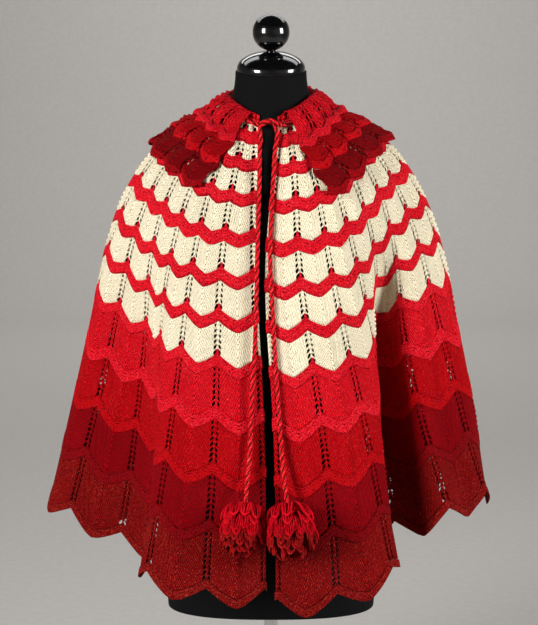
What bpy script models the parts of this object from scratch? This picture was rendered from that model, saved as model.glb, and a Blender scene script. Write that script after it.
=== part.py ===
"""Knitted chevron-lace cape with collar, drawstring and pompoms, on a limbless dress form.

Metres, +Z up. X = 0, Y = 0 is the axis of the stand's pole, Z = 0 is the underside of its base, and the open
front of the cape faces -Y.

The cape is one surface with two coordinates. The first counts gores (repeats of the chevron) round the body,
from the wearer's right front edge to the left one. The second is the length of knitting below the neck line.
Five rings carry the surface: the neck, the shoulders, the chest, the waist and the hem. The chest, waist and
hem rings run through the fold lines of a short table, so the folds grow from the shoulders to the hem.
"""
import math
from collections import namedtuple

import bpy
import numpy as np

MM = 0.001

# ---------------------------------------------------------------- cape sizes (millimetres)
GORES = 26                      # chevron repeats round the body
FRONT_BORDER = 3                # plain stitches between the first gore and the front edge
WALL = 2.0                      # thickness of the knitting
SEAM_GAP = 0.3                  # clearance between neighbouring solids
TIER_GAP = 1.1                  # the same between tiers, along the knitting; less across a slanting edge
HALVES_GAP = 0.008              # the same between the halves at the back centre, as a share of a gore

Tier = namedtuple("Tier", "name lace garter zigzag")
TIERS = (
    Tier("cream_1", 17.5, 21.0, 4),
    Tier("cream_2", 23.0, 19.5, 5),
    Tier("cream_3", 32.5, 20.0, 7),
    Tier("cream_4", 38.5, 20.5, 9),
    Tier("cream_5", 41.5, 20.0, 13),
    Tier("cream_6", 43.0, 19.5, 16),
    Tier("cream_7", 51.0, 17.0, 20),
    Tier("scarlet", 61.5, 19.0, 22),
    Tier("red", 64.0, 17.5, 23),
    Tier("dark_red", 66.0, 16.0, 24),
    Tier("brick", 72.0, 13.0, 26),
)
TIER_ENDS = np.cumsum([0.0] + [tier.lace + tier.garter for tier in TIERS])
CHEST_TIERS, WAIST_TIERS = 4, 7
CHEST_LENGTH, WAIST_LENGTH, HEM_LENGTH = TIER_ENDS[CHEST_TIERS], TIER_ENDS[WAIST_TIERS], TIER_ENDS[-1]
ZIGZAG_ROUNDING = 0.22          # 0 gives sharp points, 1 nearly a sine

# Each row is one fold crest or valley, followed from the chest ring to the hem. Its heights at the waist and
# the hem follow from the length of the knitting.
FoldLine = namedtuple("FoldLine", "name x_chest y_chest z_chest x_waist y_waist x_hem y_hem")
FOLD_LINES = (
    FoldLine("right_front_edge", -22, -141, 768, -10, -165, -2, -192),
    FoldLine("right_front_lobe", -80, -131, 771, -82, -166, -98, -232),
    FoldLine("right_front_fold", -142, -80, 789, -157, -113, -191, -196),
    FoldLine("right_front_valley", -168, -48, 805, -179, -47, -172, -106),
    FoldLine("right_side_front", -193, -15, 823, -218, -12, -238, -60),
    FoldLine("right_side_lobe", -218, 35, 851, -274, 45, -345, 10),
    FoldLine("right_side_back", -188, 88, 834, -240, 110, -308, 112),
    FoldLine("right_back_valley", -145, 116, 819, -160, 112, -162, 98),
    FoldLine("right_outer_lobe", -112, 128, 808, -126, 172, -139, 218),
    FoldLine("right_inner_lobe", -82, 136, 802, -91, 180, -97, 232),
    FoldLine("right_middle_valley", -45, 141, 797, -48, 148, -55, 148),
    FoldLine("back_centre", 0, 142, 795, 0, 190, 0, 246),
    FoldLine("left_middle_valley", 45, 141, 797, 48, 148, 55, 144),
    FoldLine("left_inner_lobe", 82, 136, 802, 91, 180, 97, 232),
    FoldLine("left_outer_lobe", 112, 128, 808, 126, 172, 139, 218),
    FoldLine("left_back_valley", 145, 116, 819, 160, 112, 157, 91),
    FoldLine("left_side_back", 188, 88, 840, 240, 105, 296, 92),
    FoldLine("left_side_lobe", 218, 35, 867, 279, 30, 346, 2),
    FoldLine("left_side_front", 193, -15, 848, 207, -58, 225, -113),
    FoldLine("left_inner_valley", 180, -34, 836, 170, -24, 166, -71),
    FoldLine("left_front_valley", 166, -52, 823, 156, -37, 149, -109),
    FoldLine("left_front_fold", 142, -80, 795, 158, -82, 188, -192),
    FoldLine("left_front_lobe", 80, -131, 762, 80, -158, 98, -228),
    FoldLine("left_front_edge", -8, -141, 754, 0, -165, 7, -198),
)

# Oval rings at the neck: heights are given at the front, the sides and the back.
Ring = namedtuple("Ring", "half_width half_depth z_front z_side z_back")
NECK_LINE = Ring(66, 64, 946, 977, 1000)
BAND_TOP = Ring(60.5, 59, 958, 990, 1013)
BAND_HEIGHT = 14
NECK_RIGHT_END, NECK_LEFT_END = math.radians(-16), math.radians(9)      # measured from the front
CHEST_OVAL = Ring(219, 140, 0, 0, 0)
SHOULDER_SHARE = 0.55           # where the shoulder ring lies between the neck and the chest
SHOULDER_BULGE, FRONT_BULGE = 20, 8

# Gores puff out between the lace lines, most where the yoke is gathered at the neck.
PUFF_AT_NECK, PUFF_LOW = 3.0, 0.6
PUFF_RISE, PUFF_FADE = 15, 120

NET_STEPS_PER_GORE = 16
NET_ROW = 4.0

# ---------------------------------------------------------------- collar sizes (millimetres)
COLLAR_REPEATS = 16
COLLAR_START, COLLAR_START_OUT = -13, 2.5       # sewn on outside the neck band
ROLL_ARC, ROLL_END, ROLL_END_OUT = 45, 30, 6.0  # the roll takes this much knitting and lands at this length
ROLL_RISE_RIGHT, ROLL_RISE_LEFT, ROLL_LEAN = 2, 14, 3  # the roll stands lower on the wearer's right
ROLL_TOP_OUT_RIGHT, ROLL_TOP_OUT_LEFT, ROLL_TOP_LENGTH = 16.6, 17, 8
COLLAR_EDGE_OUT = 5.6
Shade = namedtuple("Shade", "name depth zigzag")
COLLAR_SHADES = (Shade("scarlet", 65, 8), Shade("red", 103, 9), Shade("dark_red", 145, 12))
COLLAR_DEPTH = COLLAR_SHADES[-1].depth
# Gores from the cape's front edge to the collar's: at the neck, and how many more at the full depth.
COLLAR_INSET, COLLAR_SWEEP, SWEEP_POWER = 0.2, 2.3, 0.6

# ---------------------------------------------------------------- drawstring and pompoms (millimetres)
CORD_DIAMETER = 7.0
CORD_STEP = 17
NECK_RUN = (0.1, 25.3)          # gores between which the cord lies on the yoke under the collar
NECK_RUN_LENGTH, NECK_RUN_OUT = 5, 5.9
HANGING_CORDS = {
    "drawstring_right": (
        (15, -79, 948), (8, -88.5, 948.5), (0, -92, 950), (-8, -92.5, 955), (-13.5, -91.5, 953.5), (-15, -90, 943),
        (-16, -92, 925), (-16.8, -101, 895), (-17.5, -118, 850), (-18.8, -135.5, 805), (-20, -149, 760),
        (-21, -158.5, 715), (-22, -164.5, 670), (-24, -170, 620), (-27, -175.5, 570), (-29, -181, 515),
        (-31.5, -190.5, 465), (-35, -203, 430)),
    "drawstring_left": (
        (-7, -77.5, 952), (0, -80, 949.5), (6, -81, 944), (9, -81, 936), (7.5, -84.5, 920), (4.5, -99, 886),
        (2, -116, 846), (-0.5, -134, 800), (-1.5, -146, 758), (0.5, -156, 710), (3.5, -163, 655),
        (6.5, -168.5, 600), (10, -173.5, 550), (13.5, -181, 500), (17, -192, 455), (20.5, -205, 425)),
}
Pompom = namedtuple("Pompom", "name centre half_width half_height")
POMPOMS = (
    Pompom("pompom_right", (-41, -232, 374), 30, 36),
    Pompom("pompom_left", (28, -236, 372), 37, 38),
)

# ---------------------------------------------------------------- dress form and stand (millimetres)
# One row for each section of the form, from its underside to the top of its neck. Sections are ovals whose
# height may differ at the front, sides and back, so that they follow the slope of the shoulders.
Section = namedtuple("Section", "name half_width front back z_front z_side z_back side_y squareness")
FORM_SECTIONS = (
    Section("underside", 159, 113, 118, 209, 209, 209, 0, 2.5),
    Section("hips", 164, 119, 126, 340, 340, 340, 0, 2.3),
    Section("high_hips", 143, 108, 112, 460, 460, 460, 0, 2.2),
    Section("waist", 114, 88, 87, 562, 562, 562, 0, 2.1),
    Section("ribs", 129, 106, 93, 665, 665, 665, 0, 2.1),
    Section("bust", 143, 128, 99, 735, 735, 735, 2, 2.1),
    Section("upper_chest", 155, 117, 107, 800, 800, 800, 10, 2.1),
    Section("armholes", 168, 109, 109, 828, 846, 845, 20, 1.9),
    Section("shoulder_ends", 163, 102, 105, 850, 897, 886, 23, 1.8),
    Section("shoulders", 138, 94, 99, 871, 930.5, 913, 22, 1.8),
    Section("shoulder_slope", 106.5, 81, 84, 903, 951, 949, 14, 1.85),
    Section("neck_foot", 82.5, 67, 71, 928, 963.5, 975, 6, 1.95),
    Section("neck_line", 64.2, 62.2, 62.2, 944.8, 975.3, 998.3, 0, 2.0),
    Section("band_top", 58.9, 57.3, 57.3, 957.5, 989.5, 1012.5, 0, 2.0),
    Section("neck", 55, 57.5, 50, 990, 1008, 1024, 0, 2.0),
)
FORM_ROW, FORM_COLUMNS = 30, 40
NECK_TILT = math.radians(10.5)
NECK_TOP = (0, -8, 1026.5)
NECK_TOP_HALF_WIDTH, NECK_TOP_HALF_DEPTH = 53.5, 50.5
CAP_RADIUS, CAP_RIM, CAP_HEIGHT, CAP_FLAT = 51.6, 4, 30, 8
BALL_RADIUS, BALL_PIN_RADIUS, BALL_PIN = 27.9, 7, 1.5
POLE_RADIUS = 10.5
BASE_RADIUS, BASE_EDGE, BASE_HUB_RADIUS, BASE_HUB_FOOT, BASE_HEIGHT = 165, 9, 20, 22, 48
SOCKET_FLOOR = 20
TURN_SEGMENTS = 36


# ---------------------------------------------------------------- curves and surfaces
def spline(knots, points, wanted):
    """Natural cubic spline through points at the given knots, read at the wanted parameters."""
    knots, points, wanted = (np.asarray(values, float) for values in (knots, points, wanted))
    count, gaps = len(knots), np.diff(knots)
    flat = points.reshape(count, -1)
    system, right = np.eye(count), np.zeros_like(flat)
    for i in range(1, count - 1):
        system[i, i - 1:i + 2] = gaps[i - 1], 2 * (gaps[i - 1] + gaps[i]), gaps[i]
        right[i] = 6 * ((flat[i + 1] - flat[i]) / gaps[i] - (flat[i] - flat[i - 1]) / gaps[i - 1])
    bend = np.linalg.solve(system, right)
    k = np.clip(np.searchsorted(knots, wanted) - 1, 0, count - 2)
    gap = gaps[k][:, None]
    a = (knots[k + 1] - wanted)[:, None] / gap
    b = 1 - a
    curve = a * flat[k] + b * flat[k + 1] + ((a ** 3 - a) * bend[k] + (b ** 3 - b) * bend[k + 1]) * gap ** 2 / 6
    return curve.reshape((len(wanted),) + points.shape[1:])


def run_lengths(points):
    """Length along a polyline up to each of its points."""
    return np.concatenate([[0.0], np.cumsum(np.linalg.norm(np.diff(points, axis=0), axis=1))])


def oval(ring, angles):
    """Points of an oval ring; angle 0 is the front, and the height swells from front and back to the sides."""
    across, along = np.sin(angles), -np.cos(angles)
    end_height = np.where(along < 0, ring.z_front, ring.z_back)
    heights = ring.z_side + (end_height - ring.z_side) * along ** 2
    return np.stack([ring.half_width * across, ring.half_depth * along, heights], axis=-1)


def open_neck(angles):
    """Squeeze the fold lines' angles evenly from the back, so that the neck line ends at its front edges."""
    right = (angles + math.pi) * (NECK_RIGHT_END + math.pi) / (angles[0] + math.pi) - math.pi
    left = math.pi - (math.pi - angles) * (math.pi - NECK_LEFT_END) / (math.pi - angles[-1])
    on_right = np.arange(len(angles)) < np.argmax(np.abs(angles))
    return np.where(on_right, right, left)


def fall(points, places, length):
    """Lower points to new x, y places so that each line between them has the given length of knitting."""
    flat = np.linalg.norm(places - points[:, :2], axis=1)
    heights = points[:, 2] - np.sqrt(length ** 2 - flat ** 2)
    return np.column_stack([places, heights])


def cape_rings():
    """Knitting lengths and fold-line points of the five rings that carry the cape."""
    table = np.array([line[1:] for line in FOLD_LINES], float)
    chest = table[:, 0:3]
    waist = fall(chest, table[:, 3:5], WAIST_LENGTH - CHEST_LENGTH)
    hem = fall(waist, table[:, 5:7], HEM_LENGTH - WAIST_LENGTH)
    angles = np.arctan2(chest[:, 0] / CHEST_OVAL.half_width, -chest[:, 1] / CHEST_OVAL.half_depth)
    neck_angles = open_neck(angles)
    neck = oval(NECK_LINE, neck_angles)
    bulge = FRONT_BULGE + (SHOULDER_BULGE - FRONT_BULGE) * np.abs(np.sin(angles)) ** 3
    outward = np.stack([0.5 * np.sin(angles), -0.5 * np.cos(angles), np.full_like(angles, 0.87)], axis=-1)
    shoulder = neck + SHOULDER_SHARE * (chest - neck) + bulge[:, None] * outward
    lengths = (0, SHOULDER_SHARE * 0.95 * CHEST_LENGTH, CHEST_LENGTH, WAIST_LENGTH, HEM_LENGTH)
    return lengths, (neck, shoulder, chest, waist, hem), oval(BAND_TOP, neck_angles)


def divide_ring(stations):
    """Smooth ring through its fold lines, divided into a border, equal gores and a border."""
    steps = np.linalg.norm(np.diff(stations[:, :2], axis=0), axis=1) ** 0.7
    knots = np.concatenate([[0.0], np.cumsum(steps)])
    curve = spline(knots, stations, np.linspace(0, knots[-1], 3000))
    run = run_lengths(curve)
    gore_marks = np.linspace(FRONT_BORDER, run[-1] - FRONT_BORDER, GORES * NET_STEPS_PER_GORE + 1)
    marks = np.concatenate([[0.0], gore_marks, [run[-1]]])
    return np.stack([np.interp(marks, run, curve[:, axis]) for axis in range(3)], axis=-1)


def cape_net():
    """Close-meshed net of the cape's middle surface, its outward normals and the length of each row."""
    lengths, rings, band_top = cape_rings()
    divided = np.array([divide_ring(ring) for ring in rings])
    rows = np.linspace(0, HEM_LENGTH, int(HEM_LENGTH / NET_ROW) + 1)
    body = spline(lengths, divided, rows)
    rises = np.arange(math.ceil(BAND_HEIGHT / NET_ROW), 0, -1) / math.ceil(BAND_HEIGHT / NET_ROW)
    band = body[0] + rises[:, None, None] * (divide_ring(band_top) - body[0])
    points = np.concatenate([band, body])
    rows = np.concatenate([-BAND_HEIGHT * rises, rows])
    normals = np.cross(np.gradient(points, axis=1), np.gradient(points, axis=0))
    normals /= np.linalg.norm(normals, axis=-1, keepdims=True)
    return rows, points, normals


NET_ROWS, NET_POINTS, NET_NORMALS = cape_net()


def puff(gores, lengths):
    """How far the knitting stands out of the smooth surface: nothing on lace lines, most at gore centres."""
    lengths = np.maximum(lengths, 0)
    height = (PUFF_LOW + PUFF_AT_NECK * np.exp(-lengths / PUFF_FADE)) * (1 - np.exp(-lengths / PUFF_RISE))
    return height * (1 - np.cos(2 * np.pi * gores)) / 2


def on_cape(gores, lengths, out):
    """Points at gore and length coordinates, moved out along the surface's normal."""
    gores, lengths, out = np.broadcast_arrays(*(np.asarray(v, float) for v in (gores, lengths, out)))
    columns = np.clip(1 + gores * NET_STEPS_PER_GORE, 0, NET_POINTS.shape[1] - 1.001)
    rows = np.clip(np.interp(lengths, NET_ROWS, np.arange(len(NET_ROWS))), 0, len(NET_ROWS) - 1.001)
    i, j = columns.astype(int), rows.astype(int)
    u, v = (columns - i)[..., None], (rows - j)[..., None]

    def read(net):
        upper = net[j, i] * (1 - u) + net[j, i + 1] * u
        lower = net[j + 1, i] * (1 - u) + net[j + 1, i + 1] * u
        return upper * (1 - v) + lower * v

    normals = read(NET_NORMALS)
    normals /= np.linalg.norm(normals, axis=-1, keepdims=True)
    return read(NET_POINTS) + normals * out[..., None]


def zigzag(turns):
    """Chevron line, 0 at the notches on whole numbers and 1 at the rounded points half way between."""
    turns = np.asarray(turns, float) % 1.0
    blunt = np.sqrt(1 + ZIGZAG_ROUNDING ** 2) - np.sqrt((1 - 2 * turns) ** 2 + ZIGZAG_ROUNDING ** 2)
    return blunt / (np.sqrt(1 + ZIGZAG_ROUNDING ** 2) - ZIGZAG_ROUNDING)


# ---------------------------------------------------------------- objects
def make_material(name, colour, roughness, metallic=0.0):
    material = bpy.data.materials.new(name)
    material.use_nodes = True
    shader = material.node_tree.nodes["Principled BSDF"]
    shader.inputs["Base Color"].default_value = (*colour, 1)
    shader.inputs["Roughness"].default_value = roughness
    shader.inputs["Metallic"].default_value = metallic
    return material


def add_object(name, data, material):
    data.materials.append(material)
    thing = bpy.data.objects.new(name, data)
    bpy.context.scene.collection.objects.link(thing)
    return thing


def mesh_object(name, points, faces, material, crease_angle=math.radians(40)):
    """Object of a mesh whose points are given in millimetres."""
    mesh = bpy.data.meshes.new(name)
    mesh.from_pydata((np.reshape(points, (-1, 3)) * MM).tolist(), [], faces)
    mesh.shade_smooth()
    mesh.set_sharp_from_angle(angle=crease_angle)
    return add_object(name, mesh, material)


def grid_faces(rows, columns, start=0, flip=False):
    """Triangles of a grid of rows and columns whose points are numbered row by row."""
    faces = []
    for j in range(rows - 1):
        for i in range(columns - 1):
            corner = start + j * columns + i
            opposite = corner + columns + 1
            for triangle in ((corner, corner + columns, opposite), (corner, opposite, corner + 1)):
                faces.append(triangle[::-1] if flip else triangle)
    return faces


def wall_object(name, outer, inner, material):
    """Closed wall between an outer and an inner grid of points, with a rim along all four edges.

    Each rim quad is split from its left outer corner to its right inner one, so that two walls that meet at a
    seam have parallel rims.
    """
    rows, columns = outer.shape[:2]
    size = rows * columns
    faces = grid_faces(rows, columns, flip=True) + grid_faces(rows, columns, size)
    top = list(range(columns))
    right = [j * columns + columns - 1 for j in range(rows)]
    bottom = [(rows - 1) * columns + i for i in reversed(range(columns))]
    left = [j * columns for j in reversed(range(rows))]
    for edge in (top, right, bottom, left):
        for a, b in zip(edge, edge[1:]):
            if a < b:
                faces += [(a, a + size, b + size), (a, b + size, b)]
            else:
                faces += [(a, a + size, b), (a + size, b + size, b)]
    points = np.concatenate([outer.reshape(-1, 3), inner.reshape(-1, 3)])
    return mesh_object(name, points, faces, material)


def turned_object(name, profile, material, origin=(0, 0, 0), tilt=0.0):
    """Solid turned round its own vertical axis, tilted forward, from (radius, height) points on the axis' side.

    The profile runs from the axis at the underside, round the outside, back to the axis at the top.
    """
    angles = np.arange(TURN_SEGMENTS) * 2 * math.pi / TURN_SEGMENTS
    rings = [tilted_ring(radius, radius, height, angles, origin, tilt) for radius, height in profile[1:-1]]
    return lofted_object(name, rings, material, tilted_point(profile[0][1], origin, tilt),
                         tilted_point(profile[-1][1], origin, tilt))


def tilted_point(height, origin, tilt):
    return np.array(origin) + height * np.array([0, -math.sin(tilt), math.cos(tilt)])


def tilted_ring(half_width, half_depth, height, angles, origin, tilt):
    """Flat oval round an axis that leans forward by the tilt."""
    forward = np.array([0, -math.cos(tilt), -math.sin(tilt)])
    across = half_width * np.sin(angles)
    along = half_depth * np.cos(angles)
    ring = across[:, None] * np.array([1, 0, 0]) + along[:, None] * forward
    return tilted_point(height, origin, tilt) + ring


def lofted_object(name, rings, material, bottom_centre, top_centre):
    """Closed solid through rings from the bottom up, each counted from the front towards +X."""
    rows, columns = len(rings), len(rings[0])
    points = np.concatenate([np.concatenate(rings), [bottom_centre, top_centre]])
    faces = []
    for j in range(rows - 1):
        for i in range(columns):
            k = (i + 1) % columns
            faces.append((j * columns + i, j * columns + k, (j + 1) * columns + k, (j + 1) * columns + i))
    bottom, top = rows * columns, rows * columns + 1
    last = (rows - 1) * columns
    for i in range(columns):
        k = (i + 1) % columns
        faces.append((bottom, k, i))
        faces.append((top, last + i, last + k))
    return mesh_object(name, points, faces, material)


def arc(centre_radius, centre_height, radius, start, end, steps):
    """Profile points on an arc; angles in degrees from the outward direction, anticlockwise."""
    turns = np.radians(np.linspace(start, end, steps + 1))
    return [(centre_radius + radius * math.cos(t), centre_height + radius * math.sin(t)) for t in turns]


# ---------------------------------------------------------------- cape
def tier_edge(index, gores):
    """Length at which a tier ends; 0 is the neck line, which is straight."""
    if index == 0:
        return np.zeros_like(gores)
    return TIER_ENDS[index] - TIERS[index - 1].zigzag * (1 - zigzag(gores))


def gore_columns(steps, first=0, last=GORES):
    """Gore coordinates of the columns from one lace line to another, with the given steps in each gore.

    They reach the front edges, and stop just short of a lace line at which the next wall starts.
    """
    border = 1 / NET_STEPS_PER_GORE
    columns = np.linspace(first, last, (last - first) * steps + 1)
    if first == 0:
        columns = np.concatenate([[-border], columns])
    else:
        columns[0] += HALVES_GAP / 2
    if last == GORES:
        return np.concatenate([columns, [GORES + border]])
    columns[-1] -= HALVES_GAP / 2
    return columns


def cape_wall(name, lengths, gores, material):
    gores = np.broadcast_to(gores, lengths.shape)
    middle = puff(gores, lengths)
    outer = on_cape(gores, lengths, middle + WALL / 2)
    inner = on_cape(gores, lengths, middle - WALL / 2)
    return wall_object(name, outer, inner, material)


def tier_wall(name, first, last, gores, bands, material):
    """Wall of the tiers after the first edge up to the last one; bands says how many rows of faces each has."""
    rows = []
    for index, count in zip(range(first, last), bands):
        upper, lower = tier_edge(index, gores), tier_edge(index + 1, gores)
        rows += [upper + (lower - upper) * step / count for step in range(count)]
    rows = np.array(rows + [tier_edge(last, gores)])
    rows[0] += TIER_GAP / 2
    rows[-1] -= TIER_GAP / 2
    return cape_wall(name, rows, gores, material)


def tier_halves(name, first, last, steps, bands, material):
    """The same wall as a right and a left half that meet at the back centre; the cape is really knitted in one."""
    middle = GORES // 2
    tier_wall(name + "_right", first, last, gore_columns(steps, 0, middle), bands, material)
    tier_wall(name + "_left", first, last, gore_columns(steps, middle, GORES), bands, material)


def neck_band(material):
    gores = gore_columns(2)
    rows = np.array([[-BAND_HEIGHT], [-SEAM_GAP / 2]]) + np.zeros_like(gores)
    return cape_wall("neck_band", rows, gores, material)


# ---------------------------------------------------------------- collar
def on_collar(repeats, depths):
    """Middle surface of the collar; repeats count from the right front edge, depths from where it is sewn on.

    It rises from the neck band, rolls over in a Bezier curve and then lies on the yoke.
    """
    repeats, depths = np.broadcast_arrays(np.asarray(repeats, float), np.asarray(depths, float))
    inset = COLLAR_INSET + COLLAR_SWEEP * (np.maximum(depths, 0) / COLLAR_DEPTH) ** SWEEP_POWER
    gores = inset + repeats / COLLAR_REPEATS * (GORES - 2 * inset)
    lying_length = ROLL_END + depths - ROLL_ARC
    out = np.interp(depths, [ROLL_ARC, COLLAR_DEPTH], [ROLL_END_OUT, COLLAR_EDGE_OUT])
    lying = on_cape(gores, lying_length, out)
    seam = on_cape(gores, COLLAR_START, COLLAR_START_OUT)
    lean = on_cape(gores, COLLAR_START, COLLAR_START_OUT + ROLL_LEAN) - seam
    leftness = (1 - np.cos(math.pi * repeats / COLLAR_REPEATS)) / 2
    height = ROLL_RISE_RIGHT + (ROLL_RISE_LEFT - ROLL_RISE_RIGHT) * leftness
    rise = seam + lean + height[..., None] * np.array([0, 0, 1])
    top_out = ROLL_TOP_OUT_RIGHT + (ROLL_TOP_OUT_LEFT - ROLL_TOP_OUT_RIGHT) * leftness
    crest = on_cape(gores, ROLL_TOP_LENGTH, top_out)
    landing = on_cape(gores, ROLL_END, ROLL_END_OUT)
    t = (depths / ROLL_ARC)[..., None]
    roll = (1 - t) ** 3 * seam + 3 * t * (1 - t) ** 2 * rise + 3 * t ** 2 * (1 - t) * crest + t ** 3 * landing
    return np.where(t < 1, roll, lying)


def collar_wall(shade_index, steps, depth_rows, material):
    """Wall of one shade of the collar; depth_rows are the depths of its rows above its own zigzag edge."""
    repeats = np.linspace(0, COLLAR_REPEATS, COLLAR_REPEATS * steps + 1)
    shade = COLLAR_SHADES[shade_index]
    lower = shade.depth - shade.zigzag * (1 - zigzag(repeats)) - SEAM_GAP / 2
    if shade_index == 0:
        rows = [np.full_like(repeats, depth) for depth in depth_rows] + [lower]
    else:
        above = COLLAR_SHADES[shade_index - 1]
        upper = above.depth - above.zigzag * (1 - zigzag(repeats)) + SEAM_GAP / 2
        rows = [upper, (upper + lower) / 2, lower]
    depths = np.array(rows)
    repeats = np.broadcast_to(repeats, depths.shape)
    step = 0.02
    across = on_collar(repeats + step, depths) - on_collar(repeats - step, depths)
    down = on_collar(repeats, depths + 1) - on_collar(repeats, depths - 1)
    normals = np.cross(across, down)
    normals /= np.linalg.norm(normals, axis=-1, keepdims=True)
    middle = on_collar(repeats, depths)
    half = normals * WALL / 2
    return wall_object("collar_" + shade.name, middle + half, middle - half, material)


# ---------------------------------------------------------------- drawstring and pompoms
def smooth_route(route):
    """Evenly spaced points of a smooth curve through a route's own points."""
    route = np.array(route, float)
    knots = run_lengths(route)
    return spline(knots, route, np.linspace(0, knots[-1], int(knots[-1] / CORD_STEP) + 1))


def cord_object(name, points, material):
    curve = bpy.data.curves.new(name, "CURVE")
    curve.dimensions = "3D"
    curve.bevel_depth = CORD_DIAMETER / 2 * MM
    curve.bevel_resolution = 3
    curve.use_fill_caps = True
    strand = curve.splines.new("POLY")
    strand.points.add(len(points) - 1)
    for point, place in zip(strand.points, np.array(points) * MM):
        point.co = (*place, 1)
    return add_object(name, curve, material)


def drawstring(material):
    """The run round the neck, under the collar, and the two hanging ends, which meet it face to face."""
    run = smooth_route(on_cape(np.linspace(*NECK_RUN, GORES), NECK_RUN_LENGTH, NECK_RUN_OUT))
    cord_object("drawstring_neck", run, material)
    for name, end, before in (("drawstring_left", run[0], run[1]), ("drawstring_right", run[-1], run[-2])):
        heading = (end - before) / np.linalg.norm(end - before)
        start = end + heading * SEAM_GAP
        hanging = smooth_route([start + heading * CORD_DIAMETER, *HANGING_CORDS[name], pompom_top(name)])
        cord_object(name, [start, *hanging], material)


def cord_direction(name):
    """Direction from a pompom's centre to the last listed point of its cord."""
    pompom = next(p for p in POMPOMS if p.name == name.replace("drawstring", "pompom"))
    last = np.array(HANGING_CORDS[name.replace("pompom", "drawstring")][-1], float)
    heading = last - np.array(pompom.centre)
    return pompom, heading / np.linalg.norm(heading)


def pompom_top(name):
    """Where a cord ends, just above the top of its pompom."""
    pompom, heading = cord_direction(name)
    return np.array(pompom.centre) + heading * (pompom.half_height + SEAM_GAP)


def pompom_object(pompom, material):
    """Rounded solid of a pompom's reach, with its axis along the cord."""
    _, axis = cord_direction(pompom.name.replace("pompom", "drawstring"))
    side = np.cross(axis, [0, 1, 0])
    side /= np.linalg.norm(side)
    other = np.cross(axis, side)
    angles = np.arange(24) * 2 * math.pi / 24
    rings = []
    for rise in np.radians(np.linspace(-84, 84, 13)):
        radius = pompom.half_width * math.cos(rise)
        height = pompom.half_height * math.sin(rise) / math.sin(math.radians(84))
        circle = np.cos(angles)[:, None] * side + np.sin(angles)[:, None] * other
        rings.append(np.array(pompom.centre) + height * axis + radius * circle)
    return lofted_object(pompom.name, rings, material, rings[0].mean(axis=0), rings[-1].mean(axis=0))


# ---------------------------------------------------------------- dress form and stand
def form_section(section, angles):
    across, along = np.sin(angles), -np.cos(angles)
    power = 2 / section.squareness
    depth = np.where(along < 0, section.front, section.back)
    end_height = np.where(along < 0, section.z_front, section.z_back)
    x = section.half_width * np.sign(across) * np.abs(across) ** power
    y = section.side_y * across ** 2 + depth * np.sign(along) * np.abs(along) ** power
    z = section.z_side + (end_height - section.z_side) * along ** 2
    return np.stack([x, y, z], axis=-1)


def form_torso(material):
    """Limbless torso and neck, smooth through all its sections."""
    angles = np.arange(FORM_COLUMNS) * 2 * math.pi / FORM_COLUMNS
    rings = [form_section(section, angles) for section in FORM_SECTIONS]
    rings.append(tilted_ring(NECK_TOP_HALF_WIDTH, NECK_TOP_HALF_DEPTH, 0, angles, NECK_TOP, NECK_TILT))
    rings = np.array(rings)
    steps = np.linalg.norm(np.diff(rings, axis=0), axis=-1).mean(axis=1)
    knots = np.concatenate([[0.0], np.cumsum(steps)])
    rows = [low + gap * np.arange(math.ceil(gap / FORM_ROW)) / math.ceil(gap / FORM_ROW)
            for low, gap in zip(knots, steps)]
    loft = spline(knots, rings, np.concatenate([*rows, knots[-1:]]))
    return lofted_object("form_torso", list(loft), material, loft[0].mean(axis=0), loft[-1].mean(axis=0))


def neck_cap(material):
    """Domed cap on the neck, with a small flat for the ball."""
    dome_height = CAP_HEIGHT - CAP_RIM
    last = math.acos(CAP_FLAT / CAP_RADIUS)
    rises = np.linspace(0, last, 8)
    dome = [(CAP_RADIUS * math.cos(a), CAP_RIM + dome_height * math.sin(a) / math.sin(last)) for a in rises]
    profile = [(0, 0), (CAP_RADIUS - 1.5, 0), (CAP_RADIUS, 1.5), *dome, (0, CAP_HEIGHT)]
    return turned_object("form_neck_cap", profile, material, tilted_point(SEAM_GAP, NECK_TOP, NECK_TILT), NECK_TILT)


def ball_finial(material):
    """Ball on a short pin that stands on the cap."""
    centre = BALL_PIN + math.sqrt(BALL_RADIUS ** 2 - BALL_PIN_RADIUS ** 2)
    start = -math.degrees(math.acos(BALL_PIN_RADIUS / BALL_RADIUS))
    ball = arc(0, centre, BALL_RADIUS, start, 84, 12)
    profile = [(0, 0), (BALL_PIN_RADIUS, 0), *ball, (0, centre + BALL_RADIUS)]
    origin = tilted_point(CAP_HEIGHT + 2 * SEAM_GAP, NECK_TOP, NECK_TILT)
    return turned_object("form_finial", profile, material, origin, NECK_TILT)


def pole(material):
    foot, top = SOCKET_FLOOR + SEAM_GAP, FORM_SECTIONS[0].z_side - SEAM_GAP
    profile = [(0, foot), (POLE_RADIUS, foot), (POLE_RADIUS, top), (0, top)]
    return turned_object("stand_pole", profile, material)


def base(material):
    """Round base with a hub; the pole stands in the hub's socket."""
    edge = arc(BASE_RADIUS - BASE_EDGE / 2, BASE_EDGE / 2, BASE_EDGE / 2, -90, 90, 6)
    hub = [(BASE_HUB_RADIUS + 18, BASE_HUB_FOOT - 6), (BASE_HUB_RADIUS, BASE_HUB_FOOT + 4),
           (BASE_HUB_RADIUS - 2, BASE_HEIGHT - 2), (BASE_HUB_RADIUS - 4, BASE_HEIGHT)]
    bore = POLE_RADIUS + SEAM_GAP
    profile = [(0, 0), *edge, *hub, (bore, BASE_HEIGHT), (bore, SOCKET_FLOOR), (0, SOCKET_FLOOR)]
    return turned_object("stand_base", profile, material)


# ---------------------------------------------------------------- the whole part
for old in list(bpy.data.objects):
    bpy.data.objects.remove(old, do_unlink=True)

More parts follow.
